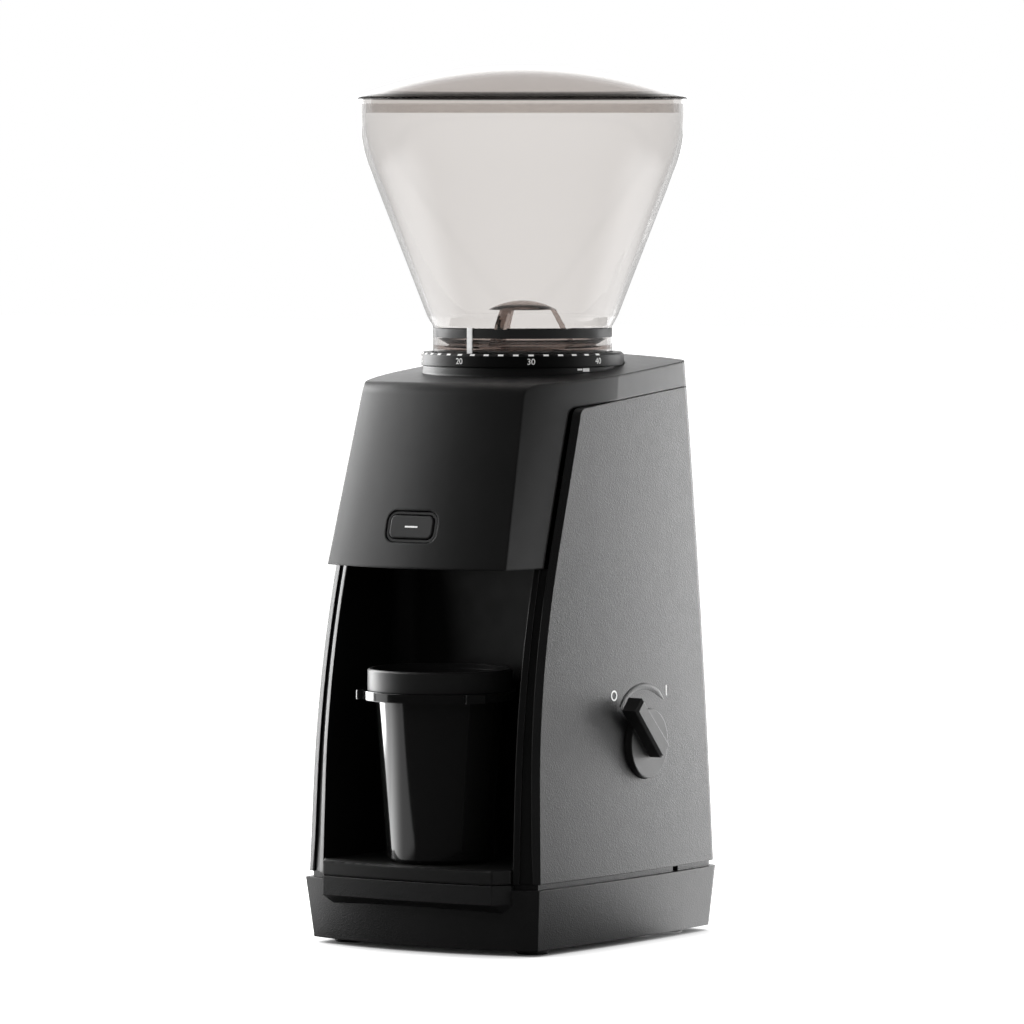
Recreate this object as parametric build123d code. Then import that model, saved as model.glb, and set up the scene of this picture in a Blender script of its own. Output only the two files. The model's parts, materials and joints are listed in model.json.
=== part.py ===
from build123d import *
import os
from math import acos, atan, atan2, cos, degrees, hypot, pi, radians, sin, sqrt, tan

# A conical-burr coffee grinder, in millimetres.
# It is modelled with the hopper axis at x = y = 0 and the feet at z = 0, front at -Y.
# Everything is moved along Y when it is written, so that the origin is under the middle of its box.

# Gaps between pieces
SEAM = 0.3          # butt seams of the casing, and pieces that slide past each other
RUNNING = 0.05      # radial clearance of shafts in bearings
FACE_GAP = 0.05     # flat faces of pieces that move on each other

# Base and feet
FOOT_H = 2.2
FOOT_R = 6.5
FOOT_SEAT = 0.8
BASE_H = 23.5
BASE_WALL = 3.0
BASE_DECK = 2.7
BASE_TAPER = 2.5    # how far the base draws in at its foot
BASE_OUT = 0.8      # how far its top edge stands out from the case
BASE_BOW = 8.5      # how far the middle of its front stands ahead of its corners
SHADOW_GAP = 2.2    # open line between the base and the case
PLINTH_INSET = 1.5
NOTCH_Y = 21.9       # small notch in the plinth on the right side
NOTCH_W = 3.7
NOTCH_DEPTH = 3.0
BOTTOM_T = 2.5
SCREW_POST_R = 4.0

# Case plan at its foot: the side walls are bowed, lean in upwards, and so does the rear
FRONT_HALF = 53.1
MID_HALF = 57.2
REAR_HALF = 56.3
FRONT_Y = -71.0
REAR_Y = 54.0
SIDE_LEAN = 0.033
REAR_LEAN = 0.035
REAR_CURVE = 0.00014
REAR_CORNER_R = 5.0
SHARPEST_R = 1.0
REAR_BOW = 5.0       # how far the middle of the rear stands behind its corners
CASE_WALL = 2.8

# Front edge of the side walls, the rim round the bay, and the seam under the deck
EDGE_LOW_Y = -70.0
EDGE_KNEE_Y = -65.9
EDGE_KNEE_UP = 81.6  # the knee's height above the foot of the case
EDGE_TOP_Y = -34.0
EDGE_R = 359.0
EDGE_CORNER_R = 4.0
SEAM_DROP = 15.05    # how far the seam's front end lies below the deck at the axis
SEAM_RISE = 7.6      # rise of the seam from there to the rear
RIM_IN_HALF = 43.4
RIM_SLANT = 0.505    # how fast the rim runs back, going outward
RIM_T = 6.0

# Dosing bay
BAY_H = 119.4
BAY_BACK_Y = -24.0
BAY_BACK_HALF = 41.0
BAY_CORNER_R = 8.0
BAY_WALL = 2.2
SHELF_T = 2.4

# Cup tray
TRAY_FRONT_Y = -84.3
TRAY_CORNER_HALF = 38.8
TRAY_CORNER_BACK = 2.3
TRAY_FACET_BACK = 9.1
TRAY_SIDE_GAP = 0.7
TRAY_T = 5.6
TRAY_EDGE_R = 0.7
BOSS_FACE = 7.4      # upright front face under the tray, and the slope that closes it below
BOSS_SLOPE = 4.6

# Nose and deck
NOSE_HALF = 40.93
NOSE_CORNER_Y = -75.48
NOSE_BOW = 8.0
NOSE_LEAN = 0.2804   # the front runs back going up
NOSE_NARROW = 0.0549
NOSE_FLARE = (46.3, -58.0)
NOSE_FLARE_END = -20.0
TOP_FLARE = (44.8, -33.0)
TOP_FLARE_END = -8.0
COVER_WALL = 2.6
DECK_SLOPE = 0.085
DECK_CROWN_R = 700.0
DECK_EDGE_R = 6.0

# Hopper, lid and what sits in its throat
COLLAR_R = 35.06
COLLAR_WALL = 1.76
COLLAR_H = 14.3
STEP_R = 37.3
STEP_H = 4.0
CONE_H = 69.7
HOPPER_R = 64.35
HOPPER_TOP_R = 63.7
HOPPER_BAND = 13.1
HOPPER_SHOULDER_R = 58.0
HOPPER_WALL = 2.0
LUG_H = 4.6
LUG_COUNT = 3
LUG_ARC = 20.0
LUG_CLEAR = 2.0
LID_OVERHANG = 0.75
LID_GAP = 1.8
LID_RIM_T = 1.1
LID_DOME = 11.8
LID_T = 2.0
LID_SKIRT = 5.4
LID_SKIRT_GAP = 0.6
SEAL_LOW = 10.2      # black band let into the outside of the collar
SEAL_H = 3.5
SEAL_T = 0.8
GUARD_R = 13.3
GUARD_RISE = 20.8
GUARD_DOME = 3.6
GUARD_T = 1.6
GUARD_LEG_W = 4.3
GUARD_FLANGE_Z = 5.4
GUARD_HOLE_R = 18.0
GUARD_FOOT_R = 20.5

# Dial ring
DIAL_R = 39.6
DIAL_H = 5.1
DIAL_CHAMFER = 0.8
DIAL_GAP = 0.6
POCKET_GAP = 0.5
NECK_IN = 0.6

# Burr group, upwards from the shelf over the bay
PAD_T = 1.2
PAD_R = 5.0
GEAR_PLATE = 2.5
GEAR_GAP = 2.0
GEAR1_W = 6.0
GEAR2_W = 7.0
BOX_WALL = 2.0
BOX_TOP = 3.0
BEARING_R = 11.0
BEARING_H = 7.0
BUSH_LOW_R = 6.5
SHAFT_R = 4.0
CHAMBER_BOSS = 11.0
CHAMBER_BOSS_R = 14.0
CHAMBER_FOOT_R = 21.0
CHAMBER_FLOOR = 3.0
CHAMBER_R = 31.6
CHAMBER_WALL = 2.4
CHAMBER_H = 17.4
CHAMBER_FLANGE = 2.4
FLANGE_T = 2.8
SWEEPER_H = 4.5
SWEEPER_LIFT = 1.2
FELT_T = 0.8
RING_H = 17.0        # adjusting ring
RING_WALL = 3.8
RING_LIP = 1.0
HOLDER_GAP = 0.4
BURR_R = 20.0
BURR_H = 14.0
CONE_H_BURR = 23.0
CONE_TOP_R = 6.5
BURR_ANGLE = 27.0
BURR_SPACE = 1.3
BURR_FLUTES = 12
BURR_LIFT = 4.0
FLUTE_DEPTH = 0.9
FLUTE_W = 1.3
SWEEPER_PADDLES = 3
HOLDER_TRAVEL = 1.0
NUT_R = 6.5
NUT_H = 5.0

# Gear train and motor
MODULE1 = 0.7
PINION_TEETH = 16
WHEEL_TEETH = 58
MODULE2 = 0.8
IDLER_TEETH = 16
OUTPUT_TEETH = 56
BACKLASH = 0.16
PRESSURE = 20.0
ADDENDUM = 0.8
DEDENDUM = 1.2
PINION_ROOM = 5.0
MOTOR_Y = 22.0
MOTOR_R = 18.5
MOTOR_H = 62.0
MOTOR_CAP_H = 8.0
MOTOR_SHAFT_R = 1.6
MOTOR_WALL = 1.6
MOTOR_BOSS_R = 5.0
ROTOR_R = 12.5
ROTOR_SLOTS = 7
IDLER_PIN_R = 2.0
BOX_SPACE = 1.0

# Chute
CHUTE_HALF = 9.0
CHUTE_WALL = 1.8
CHUTE_Y = -57.7
CHUTE_DEPTH = 14.0
CHUTE_MOUTH_H = 12.0

# Dosing cup and its ring
CUP_Y = -58.7
CUP_FOOT_R = 20.6
CUP_RIM_R = 24.8
CUP_H = 66.1
CUP_WALL = 1.8
CUP_FLANGE_R = 29.6
CUP_FLANGE_T = 3.5
EAR_R = 32.2
EAR_W = 9.0
EAR_COUNT = 3
CUP_RING_R = 27.95
CUP_RING_H = 8.3
CUP_RING_WALL = 1.8
CUP_SPIGOT = 6.0
CUP_SPIGOT_GAP = 0.5
CUP_RING_EDGE = 0.6
CUP_EDGE = 1.6

# Push button on the nose
BUTTON_UP = 15.9      # its height above the lower edge of the nose
BUTTON_W = 19.7
BUTTON_H = 9.2
BUTTON_R = 2.6
BUTTON_T = 3.2
BUTTON_TRAVEL = 1.2
BEZEL_W = 1.45
BEZEL_SINK = 1.0
SWITCH_H = 2.0
BOARD_T = 1.6
BOARD_POST_X = 11.5
BUTTON_SINK = 0.35
BUTTON_EDGE_R = 0.6
BEZEL_BACK = 0.9
BEZEL_FLANGE = 1.2

# Rotary knob on the right wall
KNOB_Y = 0.8
KNOB_UP = 49.5        # its height above the foot of the case
KNOB_R = 13.5
KNOB_T = 3.4
KNOB_BAR_W = 8.0      # pointer bar: width at the axis end and at the tip
KNOB_TIP_W = 6.9
KNOB_BAR_LONG = 22.9
KNOB_BAR_SHORT = 5.0
KNOB_BAR_LOW = 2.5    # its underside past the disc, and its top, above the pocket's floor
KNOB_BAR_TOP = 9.4
KNOB_BAR_EDGE = 1.0
KNOB_BAR_END_R = 2.2
KNOB_TURN = 45.0
KNOB_POCKET = 0.9
SPINDLE_R = 3.0
SWITCH_W = 22.0
SWITCH_D = 17.0
NUT_T = 2.5
BUSH_R = 4.5
SPINDLE_OUT = 6.5
KNOB_EDGE_R = 0.5

# Electrics
PCB_L = 52.0
PCB_H = 66.0
PCB_X = 44.0
PCB_Y = -14.0
PCB_Z = 62.0
BOARD_EDGE = 4.0
GLAND_R = 6.0
GLAND_UP = 11.0
GLAND_SINK = 1.2
GLAND_FLANGE_R = 8.5
GLAND_FLANGE_T = 2.4
LEAD_HOLE_R = 3.6
M3 = 1.5
CASE_POST_R = 3.5
CASE_POST_H = 14.0
COVER_POST_R = 4.5

# Fasteners and places
HEAD_R = 2.8
HEAD_H = 1.6
SCREW_LENGTH = 12.0
BOARD_SCREW = 6.0
FEET = [(-42.0, -58.0), (42.0, -58.0), (-44.0, 36.0), (44.0, 36.0)]
BASE_SCREWS = [(-42.0, -36.0), (42.0, -36.0), (-42.0, 18.0), (42.0, 18.0)]
CASE_SCREWS = [(-49.0, -44.0), (49.0, -44.0), (-50.0, 30.0), (50.0, 30.0)]
EARS = [(31.0, -8.0), (26.0, 27.0), (-33.0, -17.0)]
COVER_POSTS = [(-29.0, -29.0), (29.0, -29.0), (-29.0, 29.0), (29.0, 29.0)]

# Levels worked out from the stack
BASE_Z = FOOT_H
BASE_TOP = BASE_Z + BASE_H
CASE_Z = BASE_TOP + SHADOW_GAP
CEIL_Z = CASE_Z + BAY_H
SHELF_TOP = CEIL_Z + SHELF_T
NOSE_Z = CEIL_Z + SEAM
PLATE_Z = SHELF_TOP + PAD_T
PLATE_TOP = PLATE_Z + GEAR_PLATE
GEAR1_Z = PLATE_TOP + GEAR_GAP
GEAR2_Z = GEAR1_Z + GEAR1_W + GEAR_GAP
BOX_IN_TOP = GEAR2_Z + GEAR2_W + GEAR_GAP
BOX_TOP_Z = BOX_IN_TOP + BOX_TOP
CHAMBER_Z = BOX_TOP_Z + CHAMBER_BOSS
CHAMBER_IN = CHAMBER_Z + CHAMBER_FLOOR
CHAMBER_TOP = CHAMBER_IN + CHAMBER_H
SWEEPER_Z = CHAMBER_IN + SWEEPER_LIFT
CONE_Z = SWEEPER_Z + SWEEPER_H
ADJUST_Z = CHAMBER_TOP + FACE_GAP
ADJUST_TOP = ADJUST_Z + RING_H
COLLAR_Z = ADJUST_TOP + HOLDER_GAP
DIAL_Z = ADJUST_TOP - HOLDER_GAP
DECK_Z = DIAL_Z - SEAM
COVER_TOP = DECK_Z + 12.0
CONE_FOOT = COLLAR_Z + COLLAR_H + STEP_H
HOPPER_TOP = CONE_FOOT + CONE_H + HOPPER_BAND
LID_R = HOPPER_TOP_R + LID_OVERHANG
TRAY_Z = CASE_Z + FACE_GAP
TRAY_TOP = TRAY_Z + TRAY_T
CUP_Z = TRAY_TOP + FACE_GAP
CUP_TOP = CUP_Z + CUP_H
KNOB_Z = CASE_Z + KNOB_UP
COLLAR_IN = COLLAR_R - COLLAR_WALL
HOLDER_R = CHAMBER_R - HOLDER_GAP
ADJUST_R = CHAMBER_R + RING_WALL
AXIS_Y = (CUP_FLANGE_R - CUP_Y - LID_R) / 2

# Gear centres: the idler stands where both of its meshes are right
CENTRES1 = MODULE1 * (PINION_TEETH + WHEEL_TEETH) / 2
CENTRES2 = MODULE2 * (IDLER_TEETH + OUTPUT_TEETH) / 2
IDLER_Y = (CENTRES2 ** 2 - CENTRES1 ** 2 + MOTOR_Y ** 2) / (2 * MOTOR_Y)
IDLER_X = -sqrt(CENTRES2 ** 2 - IDLER_Y ** 2)
MESH2 = degrees(atan2(IDLER_Y, IDLER_X))
MESH1 = degrees(atan2(MOTOR_Y - IDLER_Y, -IDLER_X))

BOTTOM = (Align.CENTER, Align.CENTER, Align.MIN)


def disc(radius, height, z, x=0.0, y=0.0):
    return Pos(x, y, z) * Cylinder(radius, height, align=BOTTOM)


def tube(outer, inner, height, z, x=0.0, y=0.0):
    return disc(outer, height, z, x, y) - disc(inner, height + 2, z - 1, x, y)


def block(x0, x1, y0, y1, z0, z1):
    size = Box(x1 - x0, y1 - y0, z1 - z0, align=(Align.MIN, Align.MIN, Align.MIN))
    return Pos(x0, y0, z0) * size


def side_extrude(points, half):
    # A side view in Y and Z, carried to both sides of the middle plane
    face = make_face(Polyline(*points, close=True))
    return extrude(Plane.YZ * face, half, both=True)


def spin(points):
    # A solid of revolution from radius and height
    return revolve(Plane.XZ * make_face(Polyline(*points, close=True)), Axis.Z)


def around(count, start=0.0):
    return [start + 360.0 * i / count for i in range(count)]


def circle_through(a, b, c):
    # Centre and radius of the circle through three points
    d = 2 * (a[0] * (b[1] - c[1]) + b[0] * (c[1] - a[1]) + c[0] * (a[1] - b[1]))
    sa, sb, sc = (p[0] ** 2 + p[1] ** 2 for p in (a, b, c))
    x = (sa * (b[1] - c[1]) + sb * (c[1] - a[1]) + sc * (a[1] - b[1])) / d
    y = (sa * (c[0] - b[0]) + sb * (a[0] - c[0]) + sc * (b[0] - a[0])) / d
    return x, y, hypot(a[0] - x, a[1] - y)


SIDE_CX, SIDE_CY, SIDE_R = circle_through((FRONT_HALF, FRONT_Y), (MID_HALF, 0.0), (REAR_HALF, REAR_Y))


def side_x(y, z):
    # Half width of the case at a depth and a height
    return SIDE_CX + sqrt(SIDE_R ** 2 - (y - SIDE_CY) ** 2) - SIDE_LEAN * (z - CASE_Z)


def rear_y(z):
    up = z - CASE_Z
    return REAR_Y - REAR_LEAN * up - REAR_CURVE * up ** 2


def round_rear(face, inset):
    corners = face.vertices().sort_by(Axis.Y)[-2:]
    return fillet(corners, max(REAR_CORNER_R - inset, SHARPEST_R))


def case_outline(z, inset=0.0, front=FRONT_Y):
    # Plan of the case at a height: front chord, two bowed sides and the rear
    back = rear_y(z) - inset
    ahead = front + inset
    half_front = side_x(ahead, z) - inset
    half_mid = side_x(0.0, z) - inset
    half_back = side_x(back, z) - inset
    edges = [
        Line((-half_front, ahead), (half_front, ahead)),
        ThreePointArc((half_front, ahead), (half_mid, 0), (half_back, back)),
        ThreePointArc((half_back, back), (0, back + REAR_BOW), (-half_back, back)),
        ThreePointArc((-half_back, back), (-half_mid, 0), (-half_front, ahead)),
    ]
    return Pos(0, 0, z) * round_rear(make_face(edges), inset)


def case_solid(inset=0.0, front=FRONT_Y):
    middle = (CASE_Z + COVER_TOP) / 2
    return loft([case_outline(z, inset, front) for z in (CASE_Z, middle, COVER_TOP)])


def edge_face(shift=0.0, grow=0.0):
    # Side view of what the side walls cover: front edge, seam under the deck, rear and foot
    low = CASE_Z - grow
    knee = (EDGE_KNEE_Y + shift - grow, CASE_Z + EDGE_KNEE_UP)
    corner = (EDGE_TOP_Y + shift - grow, DECK_Z - SEAM_DROP + grow)
    far = REAR_Y + 20.0
    seam_end = (far, corner[1] + SEAM_RISE + 1.0)
    seam_mid = ((corner[0] + far) / 2, corner[1] + 0.68 * SEAM_RISE)
    front = FilletPolyline((EDGE_LOW_Y + shift - grow, low), knee, corner, radius=EDGE_R)
    edges = [
        front,
        ThreePointArc(corner, seam_mid, seam_end),
        Polyline(seam_end, (far, low), (EDGE_LOW_Y + shift - grow, low)),
    ]
    face = make_face(edges)
    tip = face.vertices().sort_by_distance((corner[0], corner[1], 0))[0]
    return fillet(tip, EDGE_CORNER_R)


def side_zone(grow=0.0):
    # The space of the right side wall: straight inside the rim, slanting back outside it
    reach = MID_HALF + 10.0 - RIM_IN_HALF
    shift = -RIM_SLANT * (side_x(EDGE_LOW_Y, CASE_Z) - RIM_IN_HALF)
    face = Plane.YZ * edge_face(shift, grow)
    inner = extrude(face, RIM_IN_HALF, dir=(1, 0, 0))
    slant = Vector(1, RIM_SLANT, 0)
    outer = extrude(Pos(RIM_IN_HALF, 0, 0) * face, reach * slant.length, dir=slant.normalized())
    return inner + outer


def rim_solid():
    # The slanting rim between the bay opening and the right side wall
    shift = -RIM_SLANT * (side_x(EDGE_LOW_Y, CASE_Z) - RIM_IN_HALF)
    front = edge_face(shift)
    back = Pos(RIM_T, 0, 0) * front
    strip = front - back
    slant = Vector(1, RIM_SLANT, 0)
    reach = (MID_HALF - RIM_IN_HALF + 5.0) * slant.length
    base = Pos(RIM_IN_HALF - BAY_WALL, 0, 0) * (Plane.YZ * strip)
    return extrude(base, reach, dir=slant.normalized())


def cover_outline(z, inset=0.0):
    # Plan of the top cover: bowed front, flaring sides, then flush with the case
    up = z - NOSE_Z
    share = up / (COVER_TOP - NOSE_Z)
    corner = (NOSE_HALF - NOSE_NARROW * up - inset, NOSE_CORNER_Y + NOSE_LEAN * up + inset)
    flare = [a + share * (b - a) for a, b in zip(NOSE_FLARE, TOP_FLARE)]
    end = NOSE_FLARE_END + share * (TOP_FLARE_END - NOSE_FLARE_END)
    back = rear_y(z) - inset
    side = (side_x(end, z) - inset, end)
    middle = (end + back) / 2
    tail = (side_x(middle, z) - inset, middle)
    rear = (side_x(back, z) - inset, back)
    nose = (0.0, corner[1] - NOSE_BOW)

    def flip(p):
        return (-p[0], p[1])

    edges = [
        ThreePointArc(flip(corner), nose, corner),
        ThreePointArc(corner, (flare[0] - inset, flare[1]), side),
        ThreePointArc(side, tail, rear),
        ThreePointArc(rear, (0, back + REAR_BOW), flip(rear)),
        ThreePointArc(flip(rear), flip(tail), flip(side)),
        ThreePointArc(flip(side), (inset - flare[0], flare[1]), flip(corner)),
    ]
    return Pos(0, 0, z) * round_rear(make_face(edges), inset)


def cover_solid(inset=0.0, low=NOSE_Z):
    return loft([cover_outline(low, inset), cover_outline(COVER_TOP, inset)], ruled=True)


def under_deck(drop=0.0):
    # Everything below the deck: it slopes up to the rear and is crowned across
    start = -140.0
    half = 90.0
    top = DECK_Z + DECK_SLOPE * start - drop
    edge = top - half ** 2 / (2 * DECK_CROWN_R)
    floor = -40.0
    face = make_face([
        ThreePointArc((-half, edge), (0, top), (half, edge)),
        Polyline((half, edge), (half, floor), (-half, floor), (-half, edge)),
    ])
    run = Vector(0, 1, DECK_SLOPE)
    return extrude(Plane.XZ.offset(-start) * face, 280.0 * run.length, dir=run.normalized())


def mirrored(shape):
    return mirror(shape, about=Plane.YZ)


# Places on the nose for the push button
BUTTON_TILT = atan(NOSE_LEAN)
BUTTON_Z = NOSE_Z + BUTTON_UP
BUTTON_FACE_Y = NOSE_CORNER_Y - NOSE_BOW + NOSE_LEAN * BUTTON_UP
BUTTON_PLANE = Plane(
    origin=(0, BUTTON_FACE_Y, BUTTON_Z),
    x_dir=(1, 0, 0),
    z_dir=(0, -cos(BUTTON_TILT), sin(BUTTON_TILT)),
)
BEZEL_OUT_W = BUTTON_W + 2 * BEZEL_W
BEZEL_OUT_H = BUTTON_H + 2 * BEZEL_W
BEZEL_OUT_R = BUTTON_R + BEZEL_W


def button_block(width, height, radius, low, high):
    # A rounded block square to the nose, from low to high along its outward normal
    shape = extrude(RectangleRounded(width, height, radius), high - low)
    return BUTTON_PLANE * (Pos(0, 0, low) * shape)


# Places on the right wall for the knob
KNOB_FLOOR = side_x(KNOB_Y, KNOB_Z) - KNOB_POCKET
KNOB_PLANE = Plane(origin=(KNOB_FLOOR, KNOB_Y, KNOB_Z), x_dir=(0, 1, 0), z_dir=(1, 0, 0))


def top_cover():
    solid = cover_solid() & under_deck()
    lip = solid.edges().filter_by(lambda e: e.center().Y < -45 and e.center().Z > NOSE_Z + 40)
    front = [e for e in lip if abs(e.center().X) < 5]
    solid = fillet(front, DECK_EDGE_R)
    hollow = cover_solid(COVER_WALL, NOSE_Z - 1) & under_deck(COVER_WALL)
    shell = solid - hollow
    neck_r = DIAL_R - NECK_IN
    neck = disc(neck_r, DIAL_Z - NOSE_Z, NOSE_Z) - under_deck(COVER_WALL)
    shell = shell + neck
    shell = shell - disc(DIAL_R + POCKET_GAP, 40, DIAL_Z)
    for x, y in COVER_POSTS:
        post = disc(COVER_POST_R - 1, DECK_Z - CHAMBER_TOP, CHAMBER_TOP, x, y)
        shell = shell + (post & under_deck(COVER_WALL / 2)) - disc(M3, 8.0, CHAMBER_TOP, x, y)
    shell = shell - disc(ADJUST_R + 2 * HOLDER_GAP, 80, NOSE_Z + 30)
    zone = side_zone(SEAM)
    shell = shell - zone - mirrored(zone)
    hole = button_block(BEZEL_OUT_W + 2 * SEAM, BEZEL_OUT_H + 2 * SEAM, BEZEL_OUT_R + SEAM, -12, 6)
    return shell - hole


def bay_outline(z, grow=0.0):
    # Plan of the bay, open to the front
    ahead = TRAY_FRONT_Y - 20.0
    back = BAY_BACK_Y + grow
    spread = (RIM_IN_HALF - BAY_BACK_HALF) / (BAY_BACK_Y - EDGE_LOW_Y)
    wide = BAY_BACK_HALF + spread * (BAY_BACK_Y - ahead) + grow
    narrow = BAY_BACK_HALF + grow
    face = make_face(Polyline((-wide, ahead), (wide, ahead), (narrow, back), (-narrow, back), close=True))
    face = fillet(face.vertices().sort_by(Axis.Y)[-2:], BAY_CORNER_R + grow)
    return Pos(0, 0, z) * face


def bay_half_width(y):
    spread = (RIM_IN_HALF - BAY_BACK_HALF) / (BAY_BACK_Y - EDGE_LOW_Y)
    return BAY_BACK_HALF + spread * (BAY_BACK_Y - y)


def bay_frame():
    # Liner, rim and the slab over the bay, which runs back as the shelf for the gearbox
    low = CASE_Z + FACE_GAP
    zone = side_zone()
    liner = extrude(bay_outline(low, BAY_WALL), CEIL_Z - low) & (zone + mirrored(zone))
    rim = rim_solid() & case_solid(CASE_WALL + SEAM, FRONT_Y - 20.0)
    walls = liner + rim + mirrored(rim) - extrude(bay_outline(low - 1), BAY_H + 2)
    walls = walls & block(-100, 100, -150, BAY_BACK_Y + 20, low, CEIL_Z)
    slab = cover_solid(CASE_WALL + SEAM, CEIL_Z - 1)
    slab = slab & block(-100, 100, -150, MOTOR_Y + MOTOR_R, CEIL_Z, SHELF_TOP)
    slab = slab - disc(MOTOR_R + 1.0, 20, CEIL_Z - 5, 0, MOTOR_Y)
    for x, y in EARS:
        slab = slab - disc(M3, 20, CEIL_Z - 5, x, y)
    half = CHUTE_HALF + CHUTE_WALL + SEAM
    deep = CHUTE_DEPTH / 2 + CHUTE_WALL + SEAM
    mouth = block(-half, half, CHUTE_Y - deep, CHUTE_Y + deep, CEIL_Z - 2, SHELF_TOP + 2)
    return walls + slab - mouth


def base_outline(z, inset=0.0):
    # Plan of the base: as the foot of the case, with a bowed front
    back = REAR_Y - inset
    ahead = FRONT_Y + inset
    half_front = side_x(ahead, CASE_Z) - inset
    half_mid = side_x(0.0, CASE_Z) - inset
    half_back = side_x(back, CASE_Z) - inset
    edges = [
        ThreePointArc((-half_front, ahead), (0, ahead - BASE_BOW), (half_front, ahead)),
        ThreePointArc((half_front, ahead), (half_mid, 0), (half_back, back)),
        ThreePointArc((half_back, back), (0, back + REAR_BOW), (-half_back, back)),
        ThreePointArc((-half_back, back), (-half_mid, 0), (-half_front, ahead)),
    ]
    return Pos(0, 0, z) * round_rear(make_face(edges), inset)


def base_body(inset=0.0, low=BASE_Z, high=BASE_TOP):
    # The base's tapered body, or its hollow
    slope = BASE_TAPER / BASE_H
    foot = base_outline(low, inset - BASE_OUT + slope * (BASE_TOP - low))
    top = base_outline(high, inset - BASE_OUT + slope * (BASE_TOP - high))
    return loft([foot, top], ruled=True)


def front_outline(z, setback=0.0):
    # Plan of the tray's front, which the base repeats below it
    front = TRAY_FRONT_Y + setback
    corner = (TRAY_CORNER_HALF, front + TRAY_CORNER_BACK)
    facet_y = front + TRAY_FACET_BACK
    facet = (bay_half_width(TRAY_FRONT_Y + TRAY_FACET_BACK) - TRAY_SIDE_GAP, facet_y)
    back = (facet[0], TRAY_FRONT_Y + 30.0)

    def flip(p):
        return (-p[0], p[1])

    edges = [
        ThreePointArc(flip(corner), (0, front), corner),
        Polyline(corner, facet, back, flip(back), flip(facet), flip(corner)),
    ]
    return Pos(0, 0, z) * make_face(edges)


def base():
    top = BASE_TOP - BASE_DECK
    body = base_body() - base_body(BASE_WALL, BASE_Z - 1, top)
    boss_top = CASE_Z - SEAM
    boss_low = boss_top - BOSS_FACE
    boss = extrude(front_outline(boss_low), BOSS_FACE)
    under = front_outline(boss_low - BOSS_SLOPE, TRAY_FACET_BACK)
    boss = boss + loft([under, front_outline(boss_low)], ruled=True)
    body = body + (boss - base_body(BASE_WALL, BASE_Z - 1, top))
    body = body + extrude(base_outline(BASE_TOP, PLINTH_INSET), SHADOW_GAP)
    for x, y in BASE_SCREWS:
        low = BASE_Z + BOTTOM_T
        body = body + disc(SCREW_POST_R, top - low, low, x, y)
    for x, y in BASE_SCREWS:
        body = body - disc(M3, BOTTOM_T + SCREW_LENGTH, BASE_Z, x, y)
    for x, y in CASE_SCREWS:
        body = body - disc(M3, 30, top - 1, x, y)
    body = body - block(-20, 20, 8, 38, BASE_Z, CASE_Z + 1)
    edge = side_x(NOTCH_Y, CASE_Z) - PLINTH_INSET
    notch_in = edge - NOTCH_DEPTH
    body = body - block(notch_in, edge + 5, NOTCH_Y, NOTCH_Y + NOTCH_W, BASE_TOP, CASE_Z + 1)
    body = body - gland_place(GLAND_FLANGE_R + SEAM, 0, 20) - gland_place(GLAND_R, -20, 1)
    return body


def gland_place(radius, start, end):
    # A cylinder through the rear of the base, from start to end outward of the gland's seat
    z = BASE_Z + GLAND_UP
    seat = REAR_Y + REAR_BOW + BASE_OUT - BASE_TAPER * (BASE_TOP - z) / BASE_H - GLAND_SINK
    plane = Plane(origin=(0, seat, z), x_dir=(1, 0, 0), z_dir=(0, 1, 0))
    return plane * disc(radius, end - start, start)


def cord_gland():
    body = gland_place(GLAND_FLANGE_R, 0, GLAND_FLANGE_T) + gland_place(GLAND_R, -BASE_WALL - 4, 1)
    return body - gland_place(LEAD_HOLE_R, -20, 20)


def bottom_cover():
    inset = BASE_TAPER + BASE_WALL + SEAM - BASE_OUT
    plate = extrude(base_outline(BASE_Z, inset), BOTTOM_T)
    for x, y in FEET:
        plate = plate - disc(FOOT_R, FOOT_SEAT, BASE_Z, x, y)
    for x, y in BASE_SCREWS:
        plate = plate - disc(M3, 20, BASE_Z - 5, x, y) - disc(HEAD_R, HEAD_H, BASE_Z, x, y)
    return plate


def rubber_feet():
    foot = disc(FOOT_R, FOOT_H + FOOT_SEAT, 0)
    foot = chamfer(foot.edges().sort_by(Axis.Z)[0], 0.6)
    return Compound([Pos(x, y, 0) * foot for x, y in FEET])


def screw(length, x, y, z, up=1):
    # A pan-head screw: the head's inner face lies at z, and the shank runs on from there
    head = disc(HEAD_R, HEAD_H, -HEAD_H)
    shank = disc(M3, length, 0)
    slot = block(-HEAD_R, HEAD_R, -0.5, 0.5, -HEAD_H, -HEAD_H + 0.8)
    one = head + shank - slot
    turn = Rot(0, 0, 0) if up > 0 else Rot(180, 0, 0)
    return Pos(x, y, z) * turn * one


def bottom_screws():
    z = BASE_Z + HEAD_H
    return Compound([screw(SCREW_LENGTH, x, y, z) for x, y in BASE_SCREWS])


def case_screws():
    z = BASE_TOP - BASE_DECK
    return Compound([screw(SCREW_LENGTH, x, y, z) for x, y in CASE_SCREWS])


def case_shell():
    # The right side wall with half of the rear, and the posts that its screws go into
    shell = case_solid() - case_solid(CASE_WALL, FRONT_Y - 20.0)
    inside = case_solid(CASE_WALL / 2)
    for x, y in CASE_SCREWS:
        if x > 0:
            post = disc(CASE_POST_R, CASE_POST_H, CASE_Z, x, y)
            rib = block(x, x + 20, y - BAY_WALL / 2, y + BAY_WALL / 2, CASE_Z, CASE_Z + CASE_POST_H)
            shell = shell + ((post + rib) & inside)
            shell = shell - disc(M3, SCREW_LENGTH, CASE_Z - BASE_DECK, x, y)
    return shell & side_zone() & block(SEAM / 2, 100, -150, 150, 0, 300)


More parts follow.
